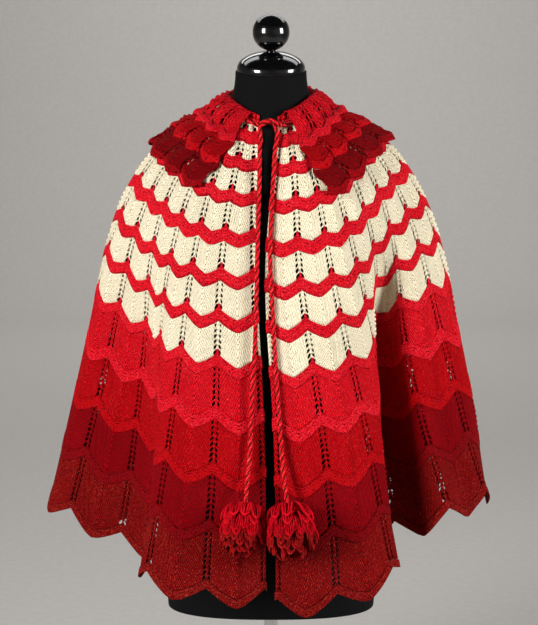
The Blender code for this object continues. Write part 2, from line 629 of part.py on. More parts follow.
CREAM = make_material("cream_wool", (0.83, 0.76, 0.57), 0.9)
SCARLET = make_material("scarlet_wool", (0.66, 0.012, 0.022), 0.85)
RED = make_material("red_wool", (0.52, 0.002, 0.006), 0.85)
DARK_RED = make_material("dark_red_wool", (0.24, 0.002, 0.006), 0.85)
BRICK = make_material("brick_red_wool", (0.19, 0.004, 0.005), 0.85)
JERSEY = make_material("black_jersey", (0.006, 0.006, 0.008), 0.8)
LACQUER = make_material("black_lacquer", (0.004, 0.004, 0.005), 0.12)
CHROME = make_material("chrome", (0.75, 0.75, 0.76), 0.08, 1.0)

neck_band(SCARLET)
tier_wall("yoke_upper", 0, CHEST_TIERS, gore_columns(2), (1, 1, 2, 2), CREAM)
for index, wool in enumerate((CREAM, CREAM, CREAM, SCARLET, RED, DARK_RED, BRICK), CHEST_TIERS):
    tier_halves("tier_" + TIERS[index].name, index, index + 1, 4, (1,), wool)
collar_wall(0, 2, (0, 8, 16, 24, 32, 42), SCARLET)
collar_wall(1, 4, (), RED)
collar_wall(2, 4, (), DARK_RED)

drawstring(SCARLET)
for pompom in POMPOMS:
    pompom_object(pompom, RED)

form_torso(JERSEY)
neck_cap(LACQUER)
ball_finial(LACQUER)
pole(CHROME)
base(LACQUER)
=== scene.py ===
"""Looks of a hand-knit chevron-lace cape with collar, drawstring and pompoms, on a limbless dress form.

Surfaces are worked out in millimetres, +Z up, and put into meshes in metres. The cape's open front faces -Y.

The cape is one surface with two coordinates. The first counts gores (repeats of the chevron) round the body,
from the wearer's right front edge to the left one. The second is the length of knitting below the neck line.
The collar has its own two: repeats of its scallops, and the depth of knitting from where it is sewn on.
"""
import math
from collections import namedtuple

import bpy
import numpy as np
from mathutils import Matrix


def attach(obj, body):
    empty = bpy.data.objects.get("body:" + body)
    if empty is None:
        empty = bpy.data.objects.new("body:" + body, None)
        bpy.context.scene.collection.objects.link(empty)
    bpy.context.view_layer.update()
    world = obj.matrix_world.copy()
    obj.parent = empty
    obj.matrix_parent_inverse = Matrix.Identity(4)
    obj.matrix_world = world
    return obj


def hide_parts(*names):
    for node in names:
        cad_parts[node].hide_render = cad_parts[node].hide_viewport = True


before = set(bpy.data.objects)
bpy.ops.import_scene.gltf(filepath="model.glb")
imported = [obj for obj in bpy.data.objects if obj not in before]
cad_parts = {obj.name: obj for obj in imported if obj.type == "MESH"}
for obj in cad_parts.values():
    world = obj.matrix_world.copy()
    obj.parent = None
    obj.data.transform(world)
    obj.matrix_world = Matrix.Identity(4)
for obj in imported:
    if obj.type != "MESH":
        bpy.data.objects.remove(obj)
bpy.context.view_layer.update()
MM = 0.001
RNG = np.random.default_rng(26)

# ---------------------------------------------------------------- cape sizes (millimetres)
GORES = 26  # chevron repeats round the body
FRONT_BORDER = 3  # plain stitches between the first lace line and the front edge
WALL = 1.5  # thickness of the knitting
SEAM_GAP = 0.3

# Columns are those of faces beside the eyelets, more where repeats are wider.
Tier = namedtuple("Tier", "name lace garter zigzag ground border columns")
TIERS = [Tier(*row) for row in (
    ("cream_1", 17.5, 21.0, 4, "cream", "scarlet", 1),
    ("cream_2", 23.0, 19.5, 5, "cream", "scarlet", 1),
    ("cream_3", 32.5, 20.0, 7, "cream", "scarlet", 1),
    ("cream_4", 38.5, 20.5, 9, "cream", "scarlet", 1),
    ("cream_5", 41.5, 20.0, 13, "cream", "scarlet", 2),
    ("cream_6", 43.0, 19.5, 16, "cream", "scarlet", 2),
    ("cream_7", 51.0, 17.0, 20, "cream", "scarlet", 2),
    ("scarlet", 61.5, 19.0, 22, "scarlet", "scarlet", 3),
    ("red", 64.0, 17.5, 23, "red", "red", 3),
    ("dark_red", 66.0, 16.0, 24, "dark_red", "dark_red", 4),
    ("brick", 72.0, 13.0, 26, "brick", "brick", 4),
)]
TIER_ENDS = np.cumsum([0.0] + [tier.lace + tier.garter for tier in TIERS])
CHEST_TIERS, WAIST_TIERS = 4, 7
CHEST_LENGTH, WAIST_LENGTH, HEM_LENGTH = TIER_ENDS[CHEST_TIERS], TIER_ENDS[WAIST_TIERS], TIER_ENDS[-1]
ZIGZAG_ROUNDING = 0.22  # 0 gives sharp points, 1 nearly a sine

# Fold lines run from the chest to the hem: x, y and z at the chest, x and y at the waist, x and y at the hem.
FOLD_LINES = (
    (-22, -141, 768, -13, -165, -8, -192),  # right front edge
    (-80, -131, 771, -82, -166, -98, -232),  # right front lobe
    (-142, -80, 789, -157, -113, -191, -196),  # right front fold
    (-168, -48, 805, -179, -47, -172, -106),  # right front valley
    (-193, -15, 823, -218, -12, -238, -60),  # right side front
    (-218, 35, 851, -274, 45, -345, 10),  # right side lobe
    (-188, 88, 834, -240, 110, -308, 112),  # right side back
    (-145, 116, 819, -160, 112, -162, 98),  # right back valley
    (-112, 128, 808, -126, 172, -139, 218),  # right outer lobe
    (-82, 136, 802, -91, 180, -97, 232),  # right inner lobe
    (-45, 141, 797, -48, 148, -55, 148),  # right middle valley
    (0, 142, 795, 0, 190, 0, 246),  # back centre
    (45, 141, 797, 48, 148, 55, 144),  # left middle valley
    (82, 136, 802, 91, 180, 97, 232),  # left inner lobe
    (112, 128, 808, 126, 172, 139, 218),  # left outer lobe
    (145, 116, 819, 160, 112, 157, 91),  # left back valley
    (188, 88, 840, 240, 105, 296, 92),  # left side back
    (218, 35, 867, 279, 30, 346, 2),  # left side lobe
    (193, -15, 848, 207, -58, 225, -113),  # left side front
    (180, -34, 836, 170, -24, 166, -71),  # left inner valley
    (166, -52, 823, 156, -37, 149, -109),  # left front valley
    (142, -80, 795, 158, -82, 188, -192),  # left front fold
    (80, -131, 762, 80, -158, 98, -228),  # left front lobe
    (-8, -141, 754, 0, -165, 7, -198),  # left front edge
)

# Oval rings at the neck: heights are given at the front, the sides and the back.
Ring = namedtuple("Ring", "half_width half_depth z_front z_side z_back")
NECK_LINE = Ring(66, 64, 946, 977, 1000)
BAND_TOP = Ring(60.5, 59, 958, 990, 1013)
BAND_HEIGHT, BAND_GARTER = 14, 4
NECK_RIGHT_END, NECK_LEFT_END = math.radians(-16), math.radians(9)  # measured from the front
CHEST_OVAL = Ring(219, 140, 0, 0, 0)
SHOULDER_SHARE = 0.55  # where the shoulder ring lies between the neck and the chest
SHOULDER_SLACK = 0.95  # knitting down to the shoulder ring, as a share of an even division
SHOULDER_BULGE, FRONT_BULGE, BULGE_POWER = 20, 8, 3
BULGE_OUT, BULGE_UP = 0.5, 0.87
RING_SAMPLES, RING_KNOT_POWER = 3000, 0.7

# Gores puff out between the lace lines, most where the yoke is gathered at the neck.
PUFF_AT_NECK, PUFF_LOW = 3.0, 0.6
PUFF_RISE, PUFF_FADE = 15, 120

# Creases of the hanging cloth: each runs down the cape from one gore and length to another,
# and is a soft trough (negative depth) or ridge of the given half width.
Crease = namedtuple("Crease", "gore_top length_top gore_foot length_foot width depth")
CREASES = [Crease(*row) for row in (
    (1.1, 300, 0.75, 560, 14, -2.6),
    (2.3, 210, 2.9, 470, 22, -1.8),
    (3.6, 330, 4.2, 640, 26, 2.4),
    (4.6, 180, 5.3, 420, 18, -2.2),
    (6.4, 260, 6.9, 600, 24, 2.0),
    (8.2, 240, 8.0, 560, 20, -2.4),
    (9.7, 320, 10.1, 650, 26, 2.6),
    (11.5, 220, 11.2, 500, 22, -2.0),
    (14.4, 280, 14.9, 620, 25, 2.2),
    (16.1, 230, 15.9, 520, 20, -2.4),
    (17.9, 300, 18.4, 640, 24, 2.0),
    (19.6, 200, 19.2, 480, 20, -2.0),
    (19.45, 560, 19.45, 868, 26, -13.0),
    (20.05, 620, 20.0, 908, 20, 9.0),
    (20.35, 240, 20.5, 960, 28, -15.0),
    (21.0, 250, 21.0, 1100, 20, 7.0),
    (21.6, 300, 21.6, 1050, 26, -10.0),
    (21.2, 260, 20.9, 560, 20, 2.2),
    (22.6, 240, 22.9, 620, 24, -2.4),
    (23.9, 330, 23.6, 650, 22, 2.0),
    (24.9, 250, 25.2, 520, 15, -2.2),
)]
CREASE_FADE = 1.5  # power with which a crease fades at its ends
STILL_FRONT = 0.7  # gores beside the front edges that lie still
SWAY = 1.4  # height of the slow waves at the hem
# Each wave has its share of the height, radians for each gore, millimetres for each radian, and start.
Wave = namedtuple("Wave", "share by_gore by_length start")
WAVES = (Wave(0.6, 1.7, 75, 0.0), Wave(0.4, 0.9, -48, 1.3))

NET_STEPS_PER_GORE = 32
NET_ROW = 2.0
FRONT_EDGE = 1 / NET_STEPS_PER_GORE  # how far, in gores, the front edges lie past the lace lines

# ---------------------------------------------------------------- knitting (millimetres)
HOLE_PITCH = 8.2  # one eyelet every second row
HOLE_OFFSETS, HOLE_WIDTHS = (3.7, 3.3), (5.5, 4.0)  # eyelet columns after and before a lace line
HOLE_TOP_SHARE = 0.6  # the first eyelet of a tier is this much as wide as the last one
HOLE_BAR, HOLE_TOP_BAR = 0.10, 0.22  # share of the pitch between an eyelet and the next one's cell
HOLE_CELL = 7.4
HOLE_ROUNDING = 0.16
SLOPE = 0.25  # turn half way between a notch and a point of the chevron
SLIT_GROWTH = 1.35  # the slit in a border is half of an eyelet column this much as wide
RIB_WIDTH = 2.0  # half width of the plain ribs on lace lines and gore centres
LEAST_BODY = 0.8  # knitting left between an eyelet's cell and the centre rib of a narrow repeat
RIB_RELIEF, RIB_RELIEF_AT_FRONT, RIB_SPREAD = 0.9, 0.2, 1.9
NEAR_FRONT = 0.4  # turns beside the front edges where the ribs stay low
CELL_RELIEF, CELL_SPREAD = 0.4, 1.6
SPINE_RELIEF, SPINE_DIP, SPINE_SPREAD = 2.6, 0.5, 1.8  # beads on the centre rib, and the dips between them
GARTER_GROOVE, GARTER_RELIEF, PLAIN_RELIEF = -2.4, 1.2, 0.3
SLIT_END = 0.6  # a slit ends at this share of a border
LOOSENESS = 0.25  # how far stitches stray from their places
# Real stitches are about 2.3 mm wide, too fine to show, so plain knitting is drawn coarser than it is.
STITCH_WIDTH, ROW_HEIGHT = 3.0, 3.8
SEED_WIDTH, SEED_HEIGHT = 2.4, 2.4  # garter bumps with the gaps between them
GARTER_ROW, GARTER_GROOVE_SHARE = 3.2, 0.4  # the groove above a border is this share of a row high
EDGE_FLARE = 1.4  # garter bands stand out at the front edges

# Textures of plain knitting, garter knitting and plied yarn. Depths and distances are shares of a stitch.
STITCH_SAG, WALE_POWER, ROW_POWER, ROW_DEPTH = 0.55, 2.2, 3.0, 0.45
SEED_TOP, SEED_FOOT, SEED_DISORDER = 0.32, 0.9, 0.8
PLY_POWER, STRANDS = 2.5, 2.0
# How much of the stitch's height (painted shade and highlight) and of the dye goes into the tone, and of the
# fibres into the relief.
HEIGHT_PAINTED_SHADING, DYE_TONE, FIBRE_RELIEF = 0.6, 0.24, 0.5
# Sizes of the other patterns in millimetres: dye patches and fibre ends of wool, grain and patches of
# jersey, dust on lacquer, the width and length of wipe marks on chrome, and grain of the backdrop. Fibre ends
# and jersey are finer than shows, so their grain is drawn coarser than it is.
DYE_PATCH, FIBRE_GRAIN, JERSEY_GRAIN, JERSEY_PATCH = 62.5, 2.0, 1.1, 70.0
DUST_PATCH, WIPE_WIDTH, WIPE_LENGTH, BACKDROP_GRAIN = 3.8, 1.1, 80.0, 17.0

# ---------------------------------------------------------------- collar sizes (millimetres)
COLLAR_REPEATS, COLLAR_COLUMNS = 16, 2
COLLAR_START, COLLAR_START_OUT = -13, 2.5  # sewn on outside the neck band
ROLL_ARC, ROLL_END, ROLL_END_OUT = 45, 30, 6.0  # the roll takes this much knitting and lands at this length
ROLL_RISE_RIGHT, ROLL_RISE_LEFT, ROLL_LEAN = 2, 14, 3  # the roll stands lower on the wearer's right
ROLL_TOP_OUT_RIGHT, ROLL_TOP_OUT_LEFT, ROLL_TOP_LENGTH = 16.6, 17, 8
COLLAR_EDGE_OUT = 5.6
Shade = namedtuple("Shade", "name depth zigzag garter")
COLLAR_SHADES = (Shade("scarlet", 65, 8, 15), Shade("red", 103, 9, 13), Shade("dark_red", 145, 12, 12))
COLLAR_DEPTH = COLLAR_SHADES[-1].depth
COLLAR_INSET, COLLAR_SWEEP, SWEEP_POWER = 0.2, 2.3, 0.6
COLLAR_PUFF, COLLAR_FLOOR = 3.8, 1.2  # scallops bulge between their lace lines
COLLAR_CURL = 6  # the edge lifts off the shoulders
# Each shade bulges past the next one at the front edges: height of the wave in gores, depth of a crest,
# millimetres for each radian, and depth at which the wave is full.
EDGE_WAVE, EDGE_CREST, EDGE_WAVE_STEP, EDGE_WAVE_FULL = 0.11, 60, 6.4, 30
COLLAR_RISE_START, COLLAR_RISE = 8, 40  # depths over which scallops and lumps grow to their full height
SCALLOP_POWER, CURL_POWER = 1.3, 3
# Each lump is the product of two slanted sine waves.
Lump = namedtuple("Lump", "height by_repeat by_depth start other_by_depth other_by_repeat")
COLLAR_LUMPS = (Lump(1.3, 1.9, 9.0, 0.0, 7.0, 1.3), Lump(0.8, 5.3, 6.0, 1.1, 4.2, 2.9))
LIP_RISE, LIP_FALL = 2.0, 1.6  # each shade's border stands out, and the next shade starts lower
LIP_ABOVE, LIP_BELOW, LIP_SPREAD = 5, 4, 5  # how far from the shade's edge they are highest and lowest
COLLAR_PLAIN_AT_SEAM, COLLAR_PLAIN = 14, 4  # plain knitting before a shade's first eyelets

# ---------------------------------------------------------------- drawstring and pompoms (millimetres)
CORD_DIAMETER = 7.0
CORD_STEP = 17  # between the points that a cord's route is smoothed to
Ply = namedtuple("Ply", "wool radius offset turn")
PLIES = (Ply("cord_red", 1.95, 1.45, 0.0), Ply("cord_brown", 1.1, 2.2, 0.25),
         Ply("cord_red", 1.95, 1.45, 0.5), Ply("cord_brown", 1.1, 2.2, 0.75))
PLY_PITCH, PLY_STEP, PLY_SIDES = 28, 2.0, 8
PATH_EVERY = 3  # every third of the plies' steps is kept in a cord's stated path
NECK_RUN = (0.1, 25.3)  # gores between which the cord lies on the yoke under the collar
NECK_RUN_LENGTH, NECK_RUN_OUT = 5, 5.9
HANGING_CORDS = {
    "drawstring_right": (
        (15, -79, 948), (8, -88.5, 948.5), (0, -92, 950), (-8, -92.5, 955), (-13.5, -91.5, 953.5),
        (-15, -90, 943), (-16, -92, 925), (-16.8, -101, 895), (-17.5, -118, 850), (-18.8, -135.5, 805),
        (-20, -149, 760), (-21, -158.5, 715), (-22, -164.5, 670), (-24, -170, 620), (-27, -175.5, 570),
        (-29, -181, 515), (-31.5, -190.5, 465), (-35, -203, 430)),
    "drawstring_left": (
        (-7, -77.5, 952), (0, -80, 949.5), (6, -81, 944), (9, -81, 936), (7.5, -84.5, 920), (4.5, -99, 886),
        (2, -116, 846), (-0.5, -134, 800), (-1.5, -146, 758), (0.5, -156, 710), (3.5, -163, 655),
        (6.5, -168.5, 600), (10, -173.5, 550), (13.5, -181, 500), (17, -192, 455), (20.5, -205, 425)),
}
Pompom = namedtuple("Pompom", "name centre half_width half_height")
POMPOMS = (
    Pompom("pompom_right", (-39.5, -232, 374), 33.5, 36),
    Pompom("pompom_left", (28, -236, 372), 37, 38),
)
# Layers of yarn loops, from the crown down. Radii are shares of a pompom's half width, and heights shares of
# its half height.
Layer = namedtuple("Layer", "wool petals r_start z_start r_shoulder z_shoulder r_tip z_tip width")
POMPOM_LAYERS = [Layer(*row) for row in (
    ("scarlet", 7, 0.02, 0.97, 0.45, 1.06, 0.74, 0.52, 14.0),
    ("scarlet", 10, 0.08, 0.95, 0.95, 1.08, 1.02, 0.32, 16.0),
    ("scarlet", 10, 0.10, 0.80, 0.85, 0.85, 0.97, 0.00, 15.0),
    ("red", 14, 0.30, 0.45, 1.00, 0.50, 1.00, -0.22, 13.5),
    ("red", 15, 0.45, 0.20, 1.05, 0.20, 1.02, -0.42, 13.0),
    ("brick", 17, 0.50, -0.05, 1.06, -0.05, 0.98, -0.62, 12.5),
    ("brick", 16, 0.45, -0.25, 0.95, -0.35, 0.80, -0.84, 12.0),
    ("brick", 12, 0.15, -0.40, 0.60, -0.60, 0.50, -1.00, 11.5),
)]
Loop = namedtuple("Loop", "turn sway width wool r_start z_start r_shoulder z_shoulder r_tip z_tip")
YARN_RADIUS, YARN_PITCH = 1.6, 24.0
LOOP_POINTS, YARN_SIDES, LOOP_STEP = 22, 5, 4.0
LOOP_BLUNTNESS, LOOP_FOOT = 0.5, 0.4  # a loop is a blunt oval, this much as wide at its foot as at its tip
LAYER_TURN = 0.13  # each layer is turned this share of a circle against the one before
PETAL_STRAY, PETAL_REACH = 0.25, (0.9, 1.04)
PETAL_SWAY, SWAY_FIRST, SWAY_GROWTH = 0.4, 0.4, 0.25
PETAL_LEAN, LOOP_SHARES, LOOP_DROP = 0.8, (1.0, 0.42), 0.1  # each petal is an outer and an inner loop

# ---------------------------------------------------------------- dress form and stand (millimetres)
Section = namedtuple("Section", "half_width front back z_front z_side z_back side_y squareness")
FORM_SECTIONS = [Section(*row) for row in (
    (159, 113, 118, 209, 209, 209, 0, 2.5),  # underside
    (164, 119, 126, 340, 340, 340, 0, 2.3),  # hips
    (143, 108, 112, 460, 460, 460, 0, 2.2),  # high hips
    (114, 88, 87, 562, 562, 562, 0, 2.1),  # waist
    (129, 106, 93, 665, 665, 665, 0, 2.1),  # ribs
    (143, 128, 99, 735, 735, 735, 2, 2.1),  # bust
    (155, 117, 107, 800, 800, 800, 10, 2.1),  # upper chest
    (168, 109, 109, 828, 846, 845, 20, 1.9),  # armholes
    (163, 102, 105, 850, 897, 886, 23, 1.8),  # shoulder ends
    (138, 94, 99, 871, 930.5, 913, 22, 1.8),  # shoulders
    (106.5, 81, 84, 903, 951, 949, 14, 1.85),  # shoulder slope
    (82.5, 67, 71, 928, 963.5, 975, 6, 1.95),  # neck foot
    (64.2, 62.2, 62.2, 944.8, 975.3, 998.3, 0, 2.0),  # neck line
    (58.9, 57.3, 57.3, 957.5, 989.5, 1012.5, 0, 2.0),  # band top
    (55, 57.5, 50, 990, 1008, 1024, 0, 2.0),  # neck
)]
FORM_ROW, FORM_COLUMNS = 8, 96
NECK_TILT = math.radians(10.5)
NECK_TOP = (0, -8, 1026.5)
NECK_TOP_HALF_WIDTH, NECK_TOP_HALF_DEPTH = 53.5, 50.5
CAP_RADIUS, CAP_EDGE, CAP_RIM, CAP_HEIGHT, CAP_FLAT = 51.6, 1.5, 4, 30, 8
BALL_RADIUS, BALL_PIN_RADIUS, BALL_PIN = 27.9, 7, 1.5
POLE_RADIUS, POLE_TOP = 10.5, 208.7
BASE_RADIUS, BASE_EDGE, BASE_HUB_RADIUS, BASE_HUB_FOOT, BASE_HEIGHT = 165, 9, 20, 22, 48
HUB_FLARE, HUB_FLARE_DROP, HUB_STEP, HUB_EDGE = 18, 6, 4, 2
SOCKET_FLOOR = 20
BALL_END = 89.5  # the ball ends in a small flat at this angle, in degrees from its equator
TURN_SEGMENTS, SHARP_ANGLE = 96, math.radians(40)
RIM_STEPS, CAP_POINTS, BALL_STEPS, EDGE_STEPS = 5, 28, 48, 12

# ---------------------------------------------------------------- view (metres)
CAMERA_DISTANCE, CAMERA_PITCH = 3.0, math.radians(6)
CAMERA_TARGET = (-0.00306, 0, 0.66)
CAMERA_LENS, CAMERA_SENSOR = 112.9, 36  # millimetres
FLOOR_MIDDLE, FLOOR_RADIUS, SWEEP_RADIUS, WALL_HEIGHT = 0.01, 5.9, 1.6, 6.0
FLOOR_SEGMENTS, SWEEP_POINTS = 128, 25
BACKDROP_COLOURS = ("#b0aca8", "#b5b2ae")
WORLD_COLOUR, WORLD_STRENGTH = "#d9d6d2", 0.02
# Power is in watts, and spread in degrees. Two softboxes light the cape, and the rest light the backdrop.
Light = namedtuple("Light", "name place target size power spread")
LIGHTS = [Light(*row) for row in (
    ("left_softbox", (-2.45, -2.3, 1.35), (0, 0, 0.7), (1.1, 1.5), 32.5, 80),
    ("right_softbox", (3.1, -1.2, 1.35), (0, 0, 0.7), (1.1, 1.5), 27.5, 80),
    ("far_floor_light", (0, 3.4, 3.2), (0, 4.0, 0.0), (5.0, 1.5), 78, 180),
    ("wall_light", (0, 5.2, 3.2), (0, 7.45, 1.45), (1.1, 0.7), 62, 180),
    ("front_left_wall_light", (-3.3, -3.3, 3.0), (-4.9, -4.9, 0.2), (4.5, 0.8), 80, 180),
    ("front_right_wall_light", (3.3, -3.3, 3.0), (4.9, -4.9, 0.2), (4.5, 0.8), 80, 180),
    ("floor_light", (0, 0.9, 2.3), (0, 1.7, 0.0), (3.0, 0.8), 20, 180),
)]


# ---------------------------------------------------------------- curves and surfaces
def spline(knots, points, wanted):
    """Natural cubic spline through points at the given knots, read at the wanted parameters."""
    knots, points, wanted = (np.asarray(values, float) for values in (knots, points, wanted))
    count, gaps = len(knots), np.diff(knots)
    flat = points.reshape(count, -1)
    system, right = np.eye(count), np.zeros_like(flat)
    for i in range(1, count - 1):
        system[i, i - 1:i + 2] = gaps[i - 1], 2 * (gaps[i - 1] + gaps[i]), gaps[i]
        right[i] = 6 * ((flat[i + 1] - flat[i]) / gaps[i] - (flat[i] - flat[i - 1]) / gaps[i - 1])
    bend = np.linalg.solve(system, right)
    k = np.clip(np.searchsorted(knots, wanted) - 1, 0, count - 2)
    gap = gaps[k][:, None]
    a = (knots[k + 1] - wanted)[:, None] / gap
    b = 1 - a
    curve = a * flat[k] + b * flat[k + 1]
    curve += ((a ** 3 - a) * bend[k] + (b ** 3 - b) * bend[k + 1]) * gap ** 2 / 6
    return curve.reshape((len(wanted),) + points.shape[1:])


def running(steps):
    """Running total of steps, from 0."""
    return np.concatenate([[0.0], np.cumsum(steps)])


def run_lengths(points):
    """Length along a polyline up to each of its points."""
    return running(np.linalg.norm(np.diff(points, axis=0), axis=1))


def circle(count):
    """Angles that divide a full turn evenly."""
    return np.arange(count) * 2 * math.pi / count


def matched(*values):
    """Arrays of floats, repeated as needed to have one shape."""
    return np.broadcast_arrays(*(np.asarray(value, float) for value in values))


def unit(vectors):
    """Vectors shortened or stretched to length 1."""
    return vectors / np.maximum(np.linalg.norm(vectors, axis=-1, keepdims=True), 1e-9)


def oval(ring, angles):
    """Points of an oval ring from the front, angle 0; its height goes smoothly from the ends to the sides."""
    across, along = np.sin(angles), -np.cos(angles)
    end_height = np.where(along < 0, ring.z_front, ring.z_back)
    heights = ring.z_side + (end_height - ring.z_side) * along ** 2
    return np.stack([ring.half_width * across, ring.half_depth * along, heights], axis=-1)


def open_neck(angles):
    """Squeeze the fold lines' angles evenly from the back, so that the neck line ends at its front edges."""
    right = (angles + math.pi) * (NECK_RIGHT_END + math.pi) / (angles[0] + math.pi) - math.pi
    left = math.pi - (math.pi - angles) * (math.pi - NECK_LEFT_END) / (math.pi - angles[-1])
    on_right = np.arange(len(angles)) < np.argmax(np.abs(angles))
    return np.where(on_right, right, left)


def fall(points, places, length):
    """Lower points to new x, y places so that each line between them has the given length of knitting."""
    flat = np.linalg.norm(places - points[:, :2], axis=1)
    heights = points[:, 2] - np.sqrt(length ** 2 - flat ** 2)
    return np.column_stack([places, heights])


def cape_rings():
    """Knitting lengths and fold-line points of the five rings that carry the cape."""
    table = np.array(FOLD_LINES, float)
    chest = table[:, 0:3]
    waist = fall(chest, table[:, 3:5], WAIST_LENGTH - CHEST_LENGTH)
    hem = fall(waist, table[:, 5:7], HEM_LENGTH - WAIST_LENGTH)
    angles = np.arctan2(chest[:, 0] / CHEST_OVAL.half_width, -chest[:, 1] / CHEST_OVAL.half_depth)
    neck_angles = open_neck(angles)
    neck = oval(NECK_LINE, neck_angles)
    bulge = FRONT_BULGE + (SHOULDER_BULGE - FRONT_BULGE) * np.abs(np.sin(angles)) ** BULGE_POWER
    outward = np.stack([BULGE_OUT * np.sin(angles), -BULGE_OUT * np.cos(angles),
                        np.full_like(angles, BULGE_UP)], axis=-1)
    shoulder = neck + SHOULDER_SHARE * (chest - neck) + bulge[:, None] * outward
    lengths = (0, SHOULDER_SHARE * SHOULDER_SLACK * CHEST_LENGTH, CHEST_LENGTH, WAIST_LENGTH, HEM_LENGTH)
    return lengths, (neck, shoulder, chest, waist, hem), oval(BAND_TOP, neck_angles)


def divide_ring(stations):
    """Smooth ring through its fold lines, divided into a border, equal gores and a border."""
    steps = np.linalg.norm(np.diff(stations[:, :2], axis=0), axis=1) ** RING_KNOT_POWER
    knots = running(steps)
    curve = spline(knots, stations, np.linspace(0, knots[-1], RING_SAMPLES))
    run = run_lengths(curve)
    gore_marks = np.linspace(FRONT_BORDER, run[-1] - FRONT_BORDER, GORES * NET_STEPS_PER_GORE + 1)
    marks = np.concatenate([[0.0], gore_marks, [run[-1]]])
    return np.stack([np.interp(marks, run, curve[:, axis]) for axis in range(3)], axis=-1)


def cape_net():
    """Close-meshed net of the cape's middle surface, its outward normals and the length of each row."""
    lengths, rings, band_top = cape_rings()
    divided = np.array([divide_ring(ring) for ring in rings])
    rows = np.linspace(0, HEM_LENGTH, int(HEM_LENGTH / NET_ROW) + 1)
    body = spline(lengths, divided, rows)
    rises = np.arange(math.ceil(BAND_HEIGHT / NET_ROW), 0, -1) / math.ceil(BAND_HEIGHT / NET_ROW)
    band = body[0] + rises[:, None, None] * (divide_ring(band_top) - body[0])
    points = np.concatenate([band, body])
    rows = np.concatenate([-BAND_HEIGHT * rises, rows])
    normals = unit(np.cross(np.gradient(points, axis=1), np.gradient(points, axis=0)))
    return rows, points, normals


NET_ROWS, NET_POINTS, NET_NORMALS = cape_net()
GORE_WIDTHS = np.linalg.norm(np.diff(NET_POINTS[:, 1:-1], axis=1), axis=2).sum(axis=1) / GORES


def gore_width(lengths):
    """Width of a gore, measured on the knitting, at each length below the neck line."""
    return np.interp(lengths, NET_ROWS, GORE_WIDTHS)


def puff(gores, lengths):
    """How far the knitting stands out of the smooth surface: nothing on lace lines, most at gore centres."""
    lengths = np.maximum(lengths, 0)
    height = (PUFF_LOW + PUFF_AT_NECK * np.exp(-lengths / PUFF_FADE)) * (1 - np.exp(-lengths / PUFF_RISE))
    return height * (1 - np.cos(2 * np.pi * gores)) / 2


def on_cape(gores, lengths, out):
    """Points at gore and length coordinates, moved out along the surface's normal."""
    gores, lengths, out = matched(gores, lengths, out)
    columns = np.clip(1 + gores * NET_STEPS_PER_GORE, 0, NET_POINTS.shape[1] - 1.001)
    rows = np.clip(np.interp(lengths, NET_ROWS, np.arange(len(NET_ROWS))), 0, len(NET_ROWS) - 1.001)
    i, j = columns.astype(int), rows.astype(int)
    u, v = (columns - i)[..., None], (rows - j)[..., None]

    def read(net):
        upper = net[j, i] * (1 - u) + net[j, i + 1] * u
        lower = net[j + 1, i] * (1 - u) + net[j + 1, i + 1] * u
        return upper * (1 - v) + lower * v

    return read(NET_POINTS) + unit(read(NET_NORMALS)) * out[..., None]


def settle(gores, lengths):
    """Unevenness of hanging cloth: slow waves that grow towards the hem, and the creases of the table.

    A crease is a bell across its line and fades out at both ends. Nothing moves at the front edges, where the
    cords hang close.
    """
    low = np.clip((lengths - CHEST_LENGTH) / (HEM_LENGTH - CHEST_LENGTH), 0, 1)
    out = SWAY * low * sum(np.sin(wave.by_gore * gores + lengths / wave.by_length + wave.start) * wave.share
                           for wave in WAVES)
    for crease in CREASES:
        share = (lengths - crease.length_top) / (crease.length_foot - crease.length_top)
        line = crease.gore_top + (crease.gore_foot - crease.gore_top) * share
        across = (gores - line) * gore_width(lengths)
        fade = np.sin(np.pi * np.clip(share, 0, 1)) ** CREASE_FADE
        out = out + crease.depth * fade * bump_at(across, crease.width)
    to_front = np.minimum(gores, GORES - gores)
    return out * (1 - bump_at(np.maximum(to_front, 0), STILL_FRONT))


def cape_surface(gores, lengths, relief):
    """Points of the knitted cape: puffed gores, waves and creases, and the relief of the stitches."""
    return on_cape(gores, lengths, puff(gores, lengths) + settle(gores, lengths) + relief)


def zigzag(turns):
    """Chevron line, 0 at the notches on whole numbers and 1 at the rounded points half way between."""
    turns = np.asarray(turns, float) % 1.0
    blunt = np.sqrt(1 + ZIGZAG_ROUNDING ** 2) - np.sqrt((1 - 2 * turns) ** 2 + ZIGZAG_ROUNDING ** 2)
    return blunt / (np.sqrt(1 + ZIGZAG_ROUNDING ** 2) - ZIGZAG_ROUNDING)


def bump_at(distance, width):
    """Bell curve, 1 at no distance and fading over the width."""
    return np.exp(-(distance / width) ** 2)


# ---------------------------------------------------------------- materials
def linear(hex_colour):
    """Linear RGBA from an sRGB hex colour."""
    values = np.array([int(hex_colour[i:i + 2], 16) for i in (1, 3, 5)]) / 255
    values = np.where(values <= 0.04045, values / 12.92, ((values + 0.055) / 1.055) ** 2.4)
    return (*values.tolist(), 1.0)


def plug(tree, made, inputs):
    """Give a node its inputs, by number or by name with _ for a space: numbers, sockets or nodes."""
    for name, value in inputs.items():
        socket = made.inputs[name.replace("_", " ") if isinstance(name, str) else name]
        if isinstance(value, bpy.types.Node):
            value = value.outputs[0]
        if isinstance(value, bpy.types.NodeSocket):
            tree.links.new(value, socket)
        else:
            socket.default_value = value


def node(tree, kind, settings, *numbered, stops=(), **named):
    """Add a node: its own settings, its inputs in order or by name, and a ramp's (place, colour) stops."""
    made = tree.nodes.new("ShaderNode" + kind)
    for name, value in settings.items():
        setattr(made, name, value)
    plug(tree, made, {**dict(enumerate(numbered)), **named})
    for number, (place, colour) in enumerate(stops):
        if number == len(made.color_ramp.elements):
            made.color_ramp.elements.new(1.0)
        made.color_ramp.elements[number].position = place
        made.color_ramp.elements[number].color = linear(colour)
    return made


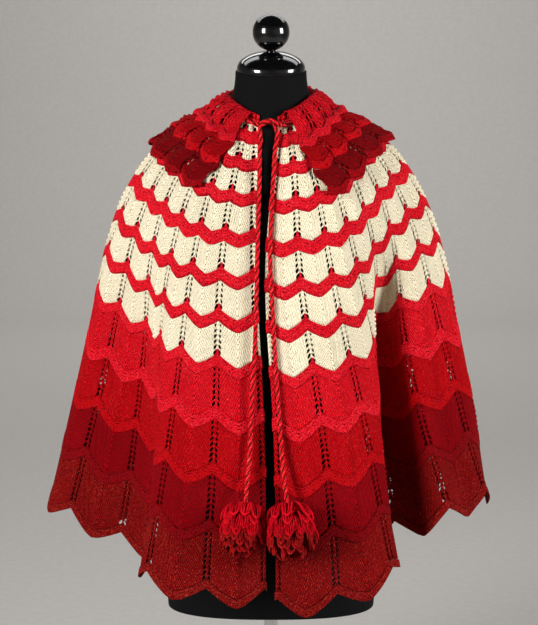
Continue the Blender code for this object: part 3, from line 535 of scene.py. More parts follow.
ADD, SUBTRACT, MULTIPLY, POWER, ABSOLUTE, FRACT = (
    {"operation": name} for name in ("ADD", "SUBTRACT", "MULTIPLY", "POWER", "ABSOLUTE", "FRACT"))


def new_material(name, **sockets):
    """Principled material; sockets are set on the shader itself."""
    material = bpy.data.materials.new(name)
    material.use_nodes = True
    tree = material.node_tree
    shader = tree.nodes["Principled BSDF"]
    plug(tree, shader, sockets)
    return material, tree, shader


def from_middle(tree, value):
    """0 in the middle of each whole step of a value, 1 at its ends."""
    share = node(tree, "Math", SUBTRACT, node(tree, "Math", FRACT, value), 0.5)
    return node(tree, "Math", MULTIPLY, node(tree, "Math", ABSOLUTE, share), 2.0)


def stocking_height(tree, stitch, row):
    """Plain knitting: a groove parts the wales, and rows sag towards each stitch's middle, as its V does."""
    sag = node(tree, "Math", MULTIPLY, from_middle(tree, stitch), STITCH_SAG)
    groove = node(tree, "Math", POWER, from_middle(tree, stitch), WALE_POWER)
    step = node(tree, "Math", POWER, from_middle(tree, node(tree, "Math", ADD, row, sag)), ROW_POWER)
    hollow = node(tree, "Math", ADD, groove, node(tree, "Math", MULTIPLY, step, ROW_DEPTH))
    return node(tree, "Math", SUBTRACT, 1.0, hollow)


def seed_height(tree, stitch, row):
    """Garter knitting: purl bumps like seeds, one for each stitch and row but a little out of line.

    A bump is flat on top and falls smoothly into the gap where its neighbours' edges meet.
    """
    place = node(tree, "CombineXYZ", {}, stitch, row)
    away = node(tree, "TexVoronoi", {"voronoi_dimensions": "2D"}, Vector=place, Scale=1.0,
                Randomness=SEED_DISORDER)
    gap = node(tree, "MapRange", {"interpolation_type": "SMOOTHSTEP"}, away.outputs["Distance"], SEED_TOP,
               SEED_FOOT)
    return node(tree, "Math", SUBTRACT, 1.0, gap)


def twist_height(tree, turn, around):
    """Plied yarn: two strands wind round each other, with a groove between them."""
    winding = node(tree, "Math", ADD, turn, node(tree, "Math", MULTIPLY, around, STRANDS))
    return node(tree, "Math", SUBTRACT, 1.0, node(tree, "Math", POWER, from_middle(tree, winding), PLY_POWER))


def wool(texture, depth, name, gap, shade, light, flecks, open_to=0.42):
    """Matt worsted wool, with painted shade in the gaps between stitches or plies and painted highlights on
    tops and fibre ends.

    The texture turns the stitch and row counts of the piece's UV map into a height from 0 to 1. The dye
    varies over some 60 mm, and fibre ends are a grain drawn at 2 mm, coarser than they are.
    """
    material, tree, shader = new_material(name, Roughness=0.9, Specular_IOR_Level=0.06, Sheen_Weight=0.03,
                                          Sheen_Roughness=0.5, Sheen_Tint=linear(light))
    uv = node(tree, "SeparateXYZ", {}, node(tree, "UVMap", {"uv_map": "knit"}))
    height = texture(tree, uv.outputs[0], uv.outputs[1])
    place = node(tree, "TexCoord", {}).outputs["Object"]
    dye = node(tree, "TexNoise", {}, Vector=place, Scale=1 / (DYE_PATCH * MM), Detail=3.0, Roughness=0.6)
    fibre = node(tree, "TexNoise", {}, Vector=place, Scale=1 / (FIBRE_GRAIN * MM), Detail=1.0, Roughness=0.6)
    dye_part = node(tree, "Math", MULTIPLY, node(tree, "Math", SUBTRACT, dye, 0.5), DYE_TONE)
    fibre_part = node(tree, "Math", MULTIPLY, node(tree, "Math", SUBTRACT, fibre, 0.5), 2 * flecks)
    tone = node(tree, "Math", ADD, node(tree, "Math", MULTIPLY, height, HEIGHT_PAINTED_SHADING),
                node(tree, "Math", ADD, dye_part, fibre_part))
    # The gap colour is painted shade where stitches and plies run low, and the light colour a painted
    # highlight on their tops and bright fibre ends.
    stops = (0.05, gap), (open_to, shade), (0.6, shade), (1.0, light)
    colour = node(tree, "ValToRGB", {}, tone, stops=stops)
    relief = node(tree, "Math", ADD, height, node(tree, "Math", MULTIPLY, fibre, FIBRE_RELIEF))
    bump = node(tree, "Bump", {}, Strength=1.0, Distance=depth, Height=relief)
    plug(tree, shader, {"Base Color": colour, "Normal": bump})
    return material


# Each wool has its name, the colour of the painted shade in its gaps, its yarn's colour, the colour of the
# painted highlight on stitch tops and fibre ends, and how much its fibre ends stand out. Plain knitting is
# 1.4 mm deep, seeds are 1.1 or 0.9 mm, and plies 0.4 mm.
WOOLS = {key: wool(stocking_height, 0.0014, *row) for key, row in {
    "cream": ("cream_wool_knit", "#a8976c", "#fff2d2", "#fffdf6", 0.5, 0.26),
    "scarlet": ("scarlet_wool_knit", "#80000a", "#de0c1c", "#fa5458", 0.6),
    # The collar's wools are darker copies of the cape's scarlet, red and dark red, with painted shade for the
    # collar.
    "collar_scarlet": ("deep_scarlet_wool_knit", "#64000a", "#d00a1a", "#f4404c", 0.6),
    "collar_red": ("deep_red_wool_knit", "#580004", "#a80209", "#d0242e", 0.4),
    "collar_dark_red": ("deep_dark_red_wool_knit", "#360004", "#820208", "#ac1820", 0.35),
    "red": ("red_wool_knit", "#780004", "#ba0009", "#e83a40", 0.65),
    "dark_red": ("dark_red_wool_knit", "#4c0006", "#900009", "#b41822", 0.4),
    "brick": ("brick_red_wool_knit", "#3c0102", "#8a0708", "#c44e3e", 0.65),
}.items()}
GARTERS = {key: wool(seed_height, depth, *row) for key, (depth, *row) in {
    "collar_scarlet": (0.0009, "deep_scarlet_wool_garter", "#4c0008", "#bc0818", "#ec3c48", 0.6),
    "collar_red": (0.0009, "deep_red_wool_garter", "#4c0004", "#ac020b", "#d42832", 0.5),
    "collar_dark_red": (0.0009, "deep_dark_red_wool_garter", "#3c0004", "#840208", "#ac1a22", 0.5),
    "scarlet": (0.0011, "scarlet_wool_garter", "#4c0008", "#cc0a1c", "#f04a50", 0.55),
    "red": (0.0011, "red_wool_garter", "#4c0004", "#a80209", "#cc1c24", 0.5),
    "dark_red": (0.0011, "dark_red_wool_garter", "#340004", "#760208", "#94121a", 0.5),
    "brick": (0.0011, "brick_red_wool_garter", "#2c0203", "#740707", "#a83c2e", 0.7),
}.items()}
YARNS = {key: wool(twist_height, 0.0004, *row) for key, row in {
    "cord_red": ("cord_red_yarn", "#980010", "#dc1422", "#ff8478", 0.45),
    "cord_brown": ("cord_brown_red_yarn", "#280402", "#5c0c0a", "#b05a48", 0.6),
    "scarlet": ("pompom_scarlet_yarn", "#640008", "#c40618", "#e4222e", 0.4),
    "red": ("pompom_red_yarn", "#4c0006", "#b00212", "#d42430", 0.4),
    "brick": ("pompom_brick_yarn", "#3c0406", "#8a080c", "#c8402e", 0.5),
}.items()}


def jersey():
    """Black viscose jersey, stretched smooth: matt, with a fine even grain.

    Its threads are finer than shows, so the grain is drawn at 1 mm, coarser than it is.
    """
    material, tree, shader = new_material("black_jersey_cover", Roughness=0.85, Specular_IOR_Level=0.12)
    place = node(tree, "TexCoord", {}).outputs["Object"]
    fibre = node(tree, "TexNoise", {}, Vector=place, Scale=1 / (JERSEY_GRAIN * MM), Detail=2.0)
    wide = node(tree, "TexNoise", {}, Vector=place, Scale=1 / (JERSEY_PATCH * MM), Detail=2.0)
    tone = node(tree, "Math", ADD, node(tree, "Math", MULTIPLY, fibre, 0.6),
                node(tree, "Math", MULTIPLY, wide, 0.4))
    colour = node(tree, "ValToRGB", {}, tone, stops=((0.3, "#020203"), (0.7, "#060607")))
    bump = node(tree, "Bump", {}, Strength=0.3, Distance=0.0004, Height=fibre)
    plug(tree, shader, {"Base Color": colour, "Normal": bump})
    return material


def lacquer():
    """Black gloss lacquer on turned wood: sharp reflections, a little dulled by dust and wiping."""
    material, tree, shader = new_material("black_gloss_lacquer", Roughness=0.1, Specular_IOR_Level=0.5,
                                          Coat_Weight=0.6, Coat_Roughness=0.05)
    place = node(tree, "TexCoord", {}).outputs["Object"]
    dust = node(tree, "TexNoise", {}, Vector=place, Scale=1 / (DUST_PATCH * MM), Detail=3.0)
    colour = node(tree, "ValToRGB", {}, dust, stops=((0.45, "#040405"), (0.75, "#0c0c0e")))
    roughness = node(tree, "MapRange", {}, dust, 0.3, 0.8, 0.08, 0.2)
    plug(tree, shader, {"Base Color": colour, "Roughness": roughness})
    return material


def chrome():
    """Chrome plate on steel tube: mirror bright, with fine wipe marks along it."""
    material, tree, shader = new_material("chrome_plate", Metallic=1.0, Roughness=0.08)
    place = node(tree, "TexCoord", {}).outputs["Object"]
    across, along = 1 / (WIPE_WIDTH * MM), 1 / (WIPE_LENGTH * MM)
    streaks = node(tree, "Mapping", {}, Vector=place, Scale=(across, across, along))
    wipe = node(tree, "TexNoise", {}, Vector=streaks, Scale=1.0, Detail=2.0)
    colour = node(tree, "ValToRGB", {}, wipe, stops=((0.3, "#c9c9cd"), (0.7, "#e2e2e4")))
    roughness = node(tree, "MapRange", {}, wipe, 0, 1, 0.05, 0.14)
    plug(tree, shader, {"Base Color": colour, "Roughness": roughness})
    return material


# ---------------------------------------------------------------- meshes
def grid_quads(rows, columns, closed_rows=False, closed_columns=False):
    """Corners of a grid's quads as point numbers, and the same on the grid as it is unrolled, for a UV map.

    Points are numbered row by row. Seen with the rows going down, the quads face out.
    """
    j, i = np.mgrid[:rows - 1 + closed_rows, :columns - 1 + closed_columns]
    down = np.stack([j, j + 1, j + 1, j], axis=-1).reshape(-1, 4)
    across = np.stack([i, i, i + 1, i + 1], axis=-1).reshape(-1, 4)
    return (down % rows) * columns + across % columns, down * (columns + closed_columns) + across


def mesh_piece(name, points, faces, materials, face_materials=None, uv=None, body="root"):
    """Smooth-shaded object of points in millimetres; uv holds one pair for each corner of each face."""
    mesh = bpy.data.meshes.new(name)
    corners = faces if isinstance(faces, list) else faces.tolist()
    mesh.from_pydata((np.reshape(points, (-1, 3)) * MM).tolist(), [], corners)
    for material in materials:
        mesh.materials.append(material)
    if face_materials is not None:
        mesh.polygons.foreach_set("material_index", np.asarray(face_materials, np.int32))
    if uv is not None:
        mesh.uv_layers.new(name="knit").data.foreach_set("uv", np.asarray(uv, np.float32).ravel())
    mesh.shade_smooth()
    piece = bpy.data.objects.new(name, mesh)
    bpy.context.scene.collection.objects.link(piece)
    if body:
        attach(piece, body)
    return piece


def thicken(piece, thickness):
    """Give a knitted sheet its thickness, half on each side, with closed edges."""
    wall = piece.modifiers.new("wall", "SOLIDIFY")
    wall.thickness = thickness * MM
    wall.offset = 0
    wall.use_even_offset = False


def sheet_size(points):
    """Cut of a knitted sheet from its grid of points, in metres: greatest width, greatest length and area."""
    width = np.linalg.norm(np.diff(points, axis=1), axis=-1).sum(axis=1).max()
    length = np.linalg.norm(np.diff(points, axis=0), axis=-1).sum(axis=0).max()
    diagonals = points[1:, 1:] - points[:-1, :-1], points[1:, :-1] - points[:-1, 1:]
    area = np.linalg.norm(np.cross(*diagonals), axis=-1).sum() / 2
    return width * MM, length * MM, area * MM ** 2


# ---------------------------------------------------------------- lace
# One stretch of lace from an upper to a lower edge, both functions of the turn (repeats of the chevron). Its
# last millimetres are garter knitting, and its first ones may be plain. A slit carries an eyelet column into
# the garter.
Lace = namedtuple("Lace", "upper lower garter plain ground border slit")


def lace_rows(stretches):
    """Rows of the stretches: stretch, share of its lace (0 to 1) or garter (1 to 2), eyelet phase, descent.

    Four rows of faces make an eyelet: a bar, two halves of the hole, and a bar, with phases 0 to 3. Phase is
    -1 in garter and plain knitting. The descent runs from 0 at the first eyelet to 1 at the last.
    """
    rows = []
    for index, lace in enumerate(stretches):
        slope = np.array([SLOPE])
        height = float(lace.lower(slope)[0] - lace.upper(slope)[0]) - lace.garter
        plain = lace.plain / height
        holes = max(1, round((height - lace.plain) / HOLE_PITCH))
        rows += [(index, plain * step / 2, -1, 0) for step in range(2) if plain]
        for hole in range(holes):
            down = hole / max(1, holes - 1)
            bar = HOLE_TOP_BAR + (HOLE_BAR - HOLE_TOP_BAR) * down
            for phase, share in enumerate((0, bar, 0.5, 1 - bar)):
                rows.append((index, plain + (1 - plain) * (hole + share) / holes, phase, down))
        count = max(2, round(lace.garter / GARTER_ROW))
        rows += [(index, 1 + step / count, -1, 1) for step in (0, GARTER_GROOVE_SHARE, *range(1, count))]
    rows.append((len(stretches) - 1, 2.0, -1, 1))
    return np.array(rows, float)


def half_columns(widths, offset, hole_widths, body_columns):
    """Shares of a repeat's width, from its lace line to its centre, of the columns in each row.

    Four columns frame the eyelets at set distances from the lace line, shrunk where the repeat is too narrow,
    and the last one but one marks the edge of the centre rib.
    """
    half = widths / 2
    shrink = np.minimum(1, half / (HOLE_CELL + RIB_WIDTH + LEAST_BODY))[:, None]
    offsets = np.array([0, -0.5, 0, 0.5, 0]) * hole_widths[:, None]
    near = (np.array([0, offset, offset, offset, HOLE_CELL]) + offsets) * shrink
    last = half[:, None] - RIB_WIDTH * shrink
    shares = np.arange(1, body_columns + 1) / body_columns
    body = near[:, -1:] + (last - near[:, -1:]) * shares
    return np.concatenate([near, body, half[:, None]], axis=1) / widths[:, None]


def lace_sheet(name, stretches, repeats, body_columns, surface, width_at, border, replaced):
    """Knitted lace with open eyelets on both sides of its lace lines, as a wall on a surface.

    Rows follow the chevrons from one edge to the next. surface(turns, lengths, out) gives points, width_at
    the width of a repeat, and border is how far, in turns, the sheet reaches past its outer lace lines.
    """
    rows = lace_rows(stretches)
    index, share, phase, down = rows[:, 0].astype(int), rows[:, 1], rows[:, 2].astype(int), rows[:, 3]
    garter = np.array([stretches[i].garter for i in index])

    def lengths_at(turns):
        upper = np.array([stretches[i].upper(t) for i, t in zip(index, turns)])
        lower = np.array([stretches[i].lower(t) for i, t in zip(index, turns)])
        top = lower - garter[:, None]
        in_lace = upper + (top - upper) * np.minimum(share, 1)[:, None]
        return np.where(share[:, None] <= 1, in_lace, top + garter[:, None] * (share[:, None] - 1)), lower

    widths = width_at(lengths_at(np.full((len(rows), 1), SLOPE))[0][:, 0])
    slit_row = np.array([stretches[i].slit for i in index]) & (share >= 1)
    growth = np.where(slit_row, SLIT_GROWTH, HOLE_TOP_SHARE + (1 - HOLE_TOP_SHARE) * down)
    after, before = (half_columns(widths, offset, hole_width * growth, body_columns)
                     for offset, hole_width in zip(HOLE_OFFSETS, HOLE_WIDTHS))
    full = np.concatenate([after, 1 - before[:, -2:0:-1]], axis=1)
    per_repeat = full.shape[1]
    turns = (np.arange(repeats)[None, :, None] + full[:, None, :]).reshape(len(rows), -1)
    local = np.tile(np.arange(per_repeat), repeats)
    edge = np.zeros((len(rows), 1))
    turns = np.concatenate([turns, edge + repeats], axis=1)
    local = np.append(local, 0)
    if border:
        turns = np.concatenate([edge - border, turns, edge + repeats + border], axis=1)
        local = np.concatenate([[-1], local, [-1]])
    lengths, lower = lengths_at(turns)

    # Eyelets are rounded: the corners of each come closer to its middle. Hand knitting is a little uneven.
    mirrored = np.minimum(local, per_repeat - local)
    corner = np.isin(phase, (1, 3))[:, None] & np.isin(mirrored, (1, 3))[None, :]
    side = np.where(mirrored == 1, 1, -1) * np.where(local <= per_repeat // 2, 1, -1)
    inside = (local > 0)[None, :] & (phase >= 0)[:, None]
    stray = np.clip(RNG.normal(0, LOOSENESS, (2,) + turns.shape), -2 * LOOSENESS, 2 * LOOSENESS) * inside
    hole_widths = np.where(local <= per_repeat // 2, *HOLE_WIDTHS)[None, :] * growth[:, None]
    pull = np.where(corner, side[None, :] * HOLE_ROUNDING * hole_widths / 2, 0)
    turns = turns + (pull + stray[0]) / widths[:, None]
    squeeze = np.where(phase == 1, 1, -1)[:, None] * HOLE_ROUNDING * (0.5 - HOLE_BAR) * HOLE_PITCH
    lengths = lengths + np.where(corner, squeeze, 0) + stray[1]

    near = np.minimum(turns % 1, 1 - turns % 1)
    to_line = near * widths[:, None]
    to_centre = np.abs(turns % 1 - 0.5) * widths[:, None]
    at_front = np.minimum(turns, repeats - turns) < NEAR_FRONT
    rib = np.where(at_front, RIB_RELIEF_AT_FRONT, RIB_RELIEF) * bump_at(to_line, RIB_SPREAD)
    rib += CELL_RELIEF * bump_at(to_line - HOLE_CELL, CELL_SPREAD)
    spine_height = np.where(np.isin(phase, (1, 2)), SPINE_RELIEF, SPINE_DIP)[:, None]
    spine = spine_height * bump_at(to_centre, SPINE_SPREAD)
    first_garter = np.append(False, (share[1:] >= 1) & (share[:-1] < 1))[:, None]
    in_border = np.where(first_garter, GARTER_GROOVE, GARTER_RELIEF)
    relief = np.where((phase >= 0)[:, None], rib + spine, in_border)
    relief = np.where((phase < 0)[:, None] & (share < 1)[:, None], PLAIN_RELIEF, relief)
    points = surface(turns, lengths, relief)
    if border:
        flare = EDGE_FLARE * ((phase < 0) & (share > 1))[:, None]
        points[:, 0] += unit(points[:, 0] - points[:, 1]) * flare
        points[:, -1] += unit(points[:, -1] - points[:, -2]) * flare

    faces, _ = grid_quads(*turns.shape)
    shape = (len(rows) - 1, len(local) - 1)
    cell = np.minimum(local[:-1], per_repeat - 1 - local[:-1])
    cell[local[:-1] < 0] = -1
    if border:
        cell[-1] = -1
    right_half = (local[:-1] < per_repeat // 2)[None, :]
    open_row = np.isin(phase[:-1], (1, 2))[:, None]
    slit_row = (slit_row & (share < 1 + SLIT_END))[:-1, None]
    hole = np.isin(cell, (1, 2))[None, :] & (open_row | (slit_row & right_half & (cell == 1)[None, :]))
    if not border:
        hole[:, :per_repeat // 2] = hole[:, -(per_repeat // 2):] = False
    last_eyelet = ((down[:-1] == 1) & (phase[:-1] >= 0))[:, None]
    knob = last_eyelet & ((cell == 0)[None, :] & (phase[:-1] >= 1)[:, None]
                          | (cell <= 2)[None, :] & (phase[:-1] == 3)[:, None])
    in_garter = (share[:-1] >= 1)[:, None] | knob
    grounds = sorted({lace.ground for lace in stretches})
    ground = np.array([grounds.index(stretches[i].ground) for i in index[:-1]])[:, None]
    chosen = np.broadcast_to(np.where(in_garter, len(grounds), ground), shape)

    counted = (lower - lengths) / ROW_HEIGHT
    stitches = np.round(widths / STITCH_WIDTH)[:, None]
    stocking = np.stack([near * stitches + 0.5 * counted, counted], axis=-1)
    seed = np.stack([near * np.round(widths / SEED_WIDTH)[:, None], (lower - lengths) / SEED_HEIGHT], axis=-1)
    keep = ~np.broadcast_to(hole, shape).ravel()
    garter_face = np.broadcast_to(in_garter, shape).ravel()[keep, None, None]
    faces = faces[keep]
    uv = np.where(garter_face, seed.reshape(-1, 2)[faces], stocking.reshape(-1, 2)[faces])
    materials = [WOOLS[n] for n in grounds] + [GARTERS[stretches[0].border]]
    piece = mesh_piece(name, points, faces, materials, chosen.ravel()[keep], uv)
    thicken(piece, WALL)
    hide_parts(*replaced)
    width, length, area = sheet_size(surface(turns, lengths, 0))


def tier_edge(index, gores):
    """Length at which a tier ends; 0 is the neck line, which is straight."""
    if index == 0:
        return np.zeros_like(gores)
    return TIER_ENDS[index] - TIERS[index - 1].zigzag * (1 - zigzag(gores))


def cape_sheet(name, first, last, replaced):
    """Tiers of the cape from first up to last."""
    stretches = [Lace(lambda g, k=k: tier_edge(k, g), lambda g, k=k: tier_edge(k + 1, g), TIERS[k].garter, 0,
                      TIERS[k].ground, TIERS[k].border, False) for k in range(first, last)]
    lace_sheet(name, stretches, GORES, TIERS[first].columns, cape_surface, gore_width, FRONT_EDGE, replaced)


def tier_nodes(first, last):
    """Nodes of the part that tiers from first up to last stand for."""
    return [f"tier_{tier.name}_{side}" for tier in TIERS[first:last] for side in ("right", "left")]


# ---------------------------------------------------------------- collar
def on_collar(repeats, depths):
    """Middle surface of the collar; repeats count from the right front edge, depths from where it is sewn on.

    It rises from the neck band, rolls over in a Bezier curve and then lies on the yoke.
    """
    repeats, depths = matched(repeats, depths)
    inset = COLLAR_INSET + COLLAR_SWEEP * (np.maximum(depths, 0) / COLLAR_DEPTH) ** SWEEP_POWER
    wave = np.cos((depths - EDGE_CREST) / EDGE_WAVE_STEP) * np.clip(depths / EDGE_WAVE_FULL, 0, 1)
    inset = inset - EDGE_WAVE * wave
    gores = inset + repeats / COLLAR_REPEATS * (GORES - 2 * inset)
    lying_length = ROLL_END + depths - ROLL_ARC
    out = np.interp(depths, [ROLL_ARC, COLLAR_DEPTH], [ROLL_END_OUT, COLLAR_EDGE_OUT])
    lying = on_cape(gores, lying_length, out)
    seam = on_cape(gores, COLLAR_START, COLLAR_START_OUT)
    lean = on_cape(gores, COLLAR_START, COLLAR_START_OUT + ROLL_LEAN) - seam
    leftness = (1 - np.cos(math.pi * repeats / COLLAR_REPEATS)) / 2
    height = ROLL_RISE_RIGHT + (ROLL_RISE_LEFT - ROLL_RISE_RIGHT) * leftness
    rise = seam + lean + height[..., None] * np.array([0, 0, 1])
    top_out = ROLL_TOP_OUT_RIGHT + (ROLL_TOP_OUT_LEFT - ROLL_TOP_OUT_RIGHT) * leftness
    crest = on_cape(gores, ROLL_TOP_LENGTH, top_out)
    landing = on_cape(gores, ROLL_END, ROLL_END_OUT)
    t = (depths / ROLL_ARC)[..., None]
    roll = (1 - t) ** 3 * seam + 3 * t * (1 - t) ** 2 * rise + 3 * t ** 2 * (1 - t) * crest + t ** 3 * landing
    return np.where(t < 1, roll, lying)


def collar_surface(repeats, depths, relief):
    """Collar with its relief: scallops between the lace lines, lumpy knitting, and an edge that curls up.

    Everything stands out of the middle surface along its normal, and more towards the edge.
    """
    repeats, depths, relief = matched(repeats, depths, relief)
    step = 0.02
    across = on_collar(repeats + step, depths) - on_collar(repeats - step, depths)
    down = on_collar(repeats, depths + 1) - on_collar(repeats, depths - 1)
    normals = unit(np.cross(across, down))
    low = np.clip((depths - COLLAR_RISE_START) / COLLAR_RISE, 0, 1)
    puffed = COLLAR_PUFF * low * np.abs(np.sin(np.pi * repeats)) ** SCALLOP_POWER
    lumps = sum(lump.height * np.sin(lump.by_repeat * repeats + depths / lump.by_depth + lump.start)
                * np.sin(depths / lump.other_by_depth - lump.other_by_repeat * repeats)
                for lump in COLLAR_LUMPS)
    shoulder = np.sin(np.pi * repeats / COLLAR_REPEATS * 2) ** 2
    curl = COLLAR_CURL * shoulder * (np.maximum(depths, 0) / COLLAR_DEPTH) ** CURL_POWER
    past = [depths - collar_edge(index, repeats) for index in range(len(COLLAR_SHADES))]
    lips = sum(LIP_RISE * bump_at(p + LIP_ABOVE, LIP_SPREAD) - LIP_FALL * bump_at(p - LIP_BELOW, LIP_SPREAD)
               for p in past)
    out = low * (COLLAR_FLOOR + lumps) + puffed + curl + lips + relief
    return on_collar(repeats, depths) + normals * out[..., None]


COLLAR_WIDTH_DEPTHS = np.linspace(0, COLLAR_DEPTH, 40)
COLLAR_WIDTHS = np.linalg.norm(np.diff(on_collar(np.linspace(0, COLLAR_REPEATS, 400)[None, :],
                                                 COLLAR_WIDTH_DEPTHS[:, None]), axis=1), axis=-1).sum(axis=1)


def collar_width(depths):
    """Width of a repeat of the collar at each depth."""
    return np.interp(depths, COLLAR_WIDTH_DEPTHS, COLLAR_WIDTHS / COLLAR_REPEATS)


def collar_edge(index, repeats):
    """Depth at which a shade ends; -1 is the seam on the neck band."""
    if index < 0:
        return np.zeros_like(repeats)
    return COLLAR_SHADES[index].depth - COLLAR_SHADES[index].zigzag * (1 - zigzag(repeats))


def collar_sheet(index):
    """One shade of the collar."""
    shade = COLLAR_SHADES[index]
    plain = COLLAR_PLAIN if index else COLLAR_PLAIN_AT_SEAM
    wool_name = "collar_" + shade.name
    lace = Lace(lambda t: collar_edge(index - 1, t), lambda t: collar_edge(index, t), shade.garter, plain,
                wool_name, wool_name, index > 0)
    lace_sheet("knit_collar_" + shade.name, [lace], COLLAR_REPEATS, COLLAR_COLUMNS, collar_surface,
               collar_width, 0, ["collar_" + shade.name])


def neck_band():
    """Band at the neck: garter knitting with one row of eyelets."""
    lace = Lace(lambda g: np.full_like(g, -BAND_HEIGHT), lambda g: np.full_like(g, -SEAM_GAP / 2),
                BAND_GARTER, 0, "scarlet", "scarlet", False)
    lace_sheet("knit_neck_band", [lace], GORES, 1, cape_surface, gore_width, FRONT_EDGE, ["neck_band"])


# ---------------------------------------------------------------- drawstring
def smooth_route(route, step=CORD_STEP):
    """Evenly spaced points of a smooth curve through a route's own points."""
    route = np.array(route, float)
    knots = run_lengths(route)
    return spline(knots, route, np.linspace(0, knots[-1], int(knots[-1] / step) + 1))


def carried_frames(line):
    """Two unit vectors across a line at each of its points, carried along it without twist."""
    tangents = unit(np.gradient(line, axis=0))
    sides = np.empty_like(line)
    side = np.cross(tangents[0], [0, 1, 0.1])  # no line starts in this direction
    for i, tangent in enumerate(tangents):
        side = side - np.dot(side, tangent) * tangent
        side /= np.linalg.norm(side)
        sides[i] = side
    return sides, np.cross(tangents, sides)


def tubes(centres, tangents, spokes, radius, sides):
    """Rings of points round lines with the given tangents, placed by spokes that point out of the lines."""
    outward = unit(spokes - (spokes * tangents).sum(axis=-1, keepdims=True) * tangents)
    beside = np.cross(tangents, outward)
    turns = circle(sides)[:, None]
    ring = np.cos(turns) * beside[..., None, :] + np.sin(turns) * outward[..., None, :]
    return centres[..., None, :] + radius * ring


def tube_uv(along, sides, unrolled):
    """UV map of a tube's quads, from the places along it of its rings and its unrolled grid."""
    grid = np.stack(np.broadcast_arrays(along, np.arange(sides + 1) / sides), axis=-1)
    return grid.reshape(-1, 2)[unrolled]


def twisted_cord(name, line, replaced):
    """Plies wound round a line as right-hand helices, each a tube with closed ends."""
    line = smooth_route(line, PLY_STEP)
    first, second = carried_frames(line)
    run = run_lengths(line)
    points, faces, face_materials, uvs = [], [], [], []
    for number, ply in enumerate(PLIES):
        angles = 2 * np.pi * (run / PLY_PITCH + ply.turn)[:, None]
        spokes = np.cos(angles) * first + np.sin(angles) * second
        centres = line + ply.offset * spokes
        tube = tubes(centres, unit(np.gradient(centres, axis=0)), spokes, ply.radius, PLY_SIDES)
        quads, unrolled = grid_quads(len(line), PLY_SIDES, closed_columns=True)
        start = sum(len(p) for p in points)
        ring = start + np.arange(PLY_SIDES)
        ends = [ring.tolist(), (ring + (len(line) - 1) * PLY_SIDES)[::-1].tolist()]
        points.append(tube.reshape(-1, 3))
        uvs += [tube_uv(run[:, None] / YARN_PITCH, PLY_SIDES, unrolled).reshape(-1, 2),
                np.zeros((2 * PLY_SIDES, 2))]
        faces += (quads + start).tolist() + ends
        face_materials += [number] * (len(quads) + 2)
    piece = mesh_piece(name, np.concatenate(points), faces, [YARNS[ply.wool] for ply in PLIES],
                       face_materials, np.concatenate(uvs))
    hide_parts(replaced)
    return piece, line[::PATH_EVERY] * MM, run[-1] * MM


def pompom_axis(name):
    """Pompom on a cord, and the direction from its centre to the last listed point of the cord."""
    pompom = next(p for p in POMPOMS if p.name == name.replace("drawstring", "pompom"))
    last = np.array(HANGING_CORDS[name.replace("pompom", "drawstring")][-1], float)
    return pompom, unit(last - np.array(pompom.centre))


def drawstring():
    """The run round the neck, under the collar, and the two hanging ends with their pompoms."""
    run = smooth_route(on_cape(np.linspace(*NECK_RUN, GORES), NECK_RUN_LENGTH, NECK_RUN_OUT))
    piece, path, length = twisted_cord("cord_neck", run, "drawstring_neck")
    for name, end, before in (("drawstring_left", run[0], run[1]), ("drawstring_right", run[-1], run[-2])):
        heading = unit(end - before)
        start = end + heading * SEAM_GAP
        pompom, axis = pompom_axis(name)
        top = np.array(pompom.centre) + axis * (pompom.half_height + SEAM_GAP)
        hanging = smooth_route([start + heading * CORD_DIAMETER, *HANGING_CORDS[name], top])
        piece, path, length = twisted_cord(name.replace("drawstring", "cord"), [start, *hanging], name)
        looped_pompom(pompom, axis)


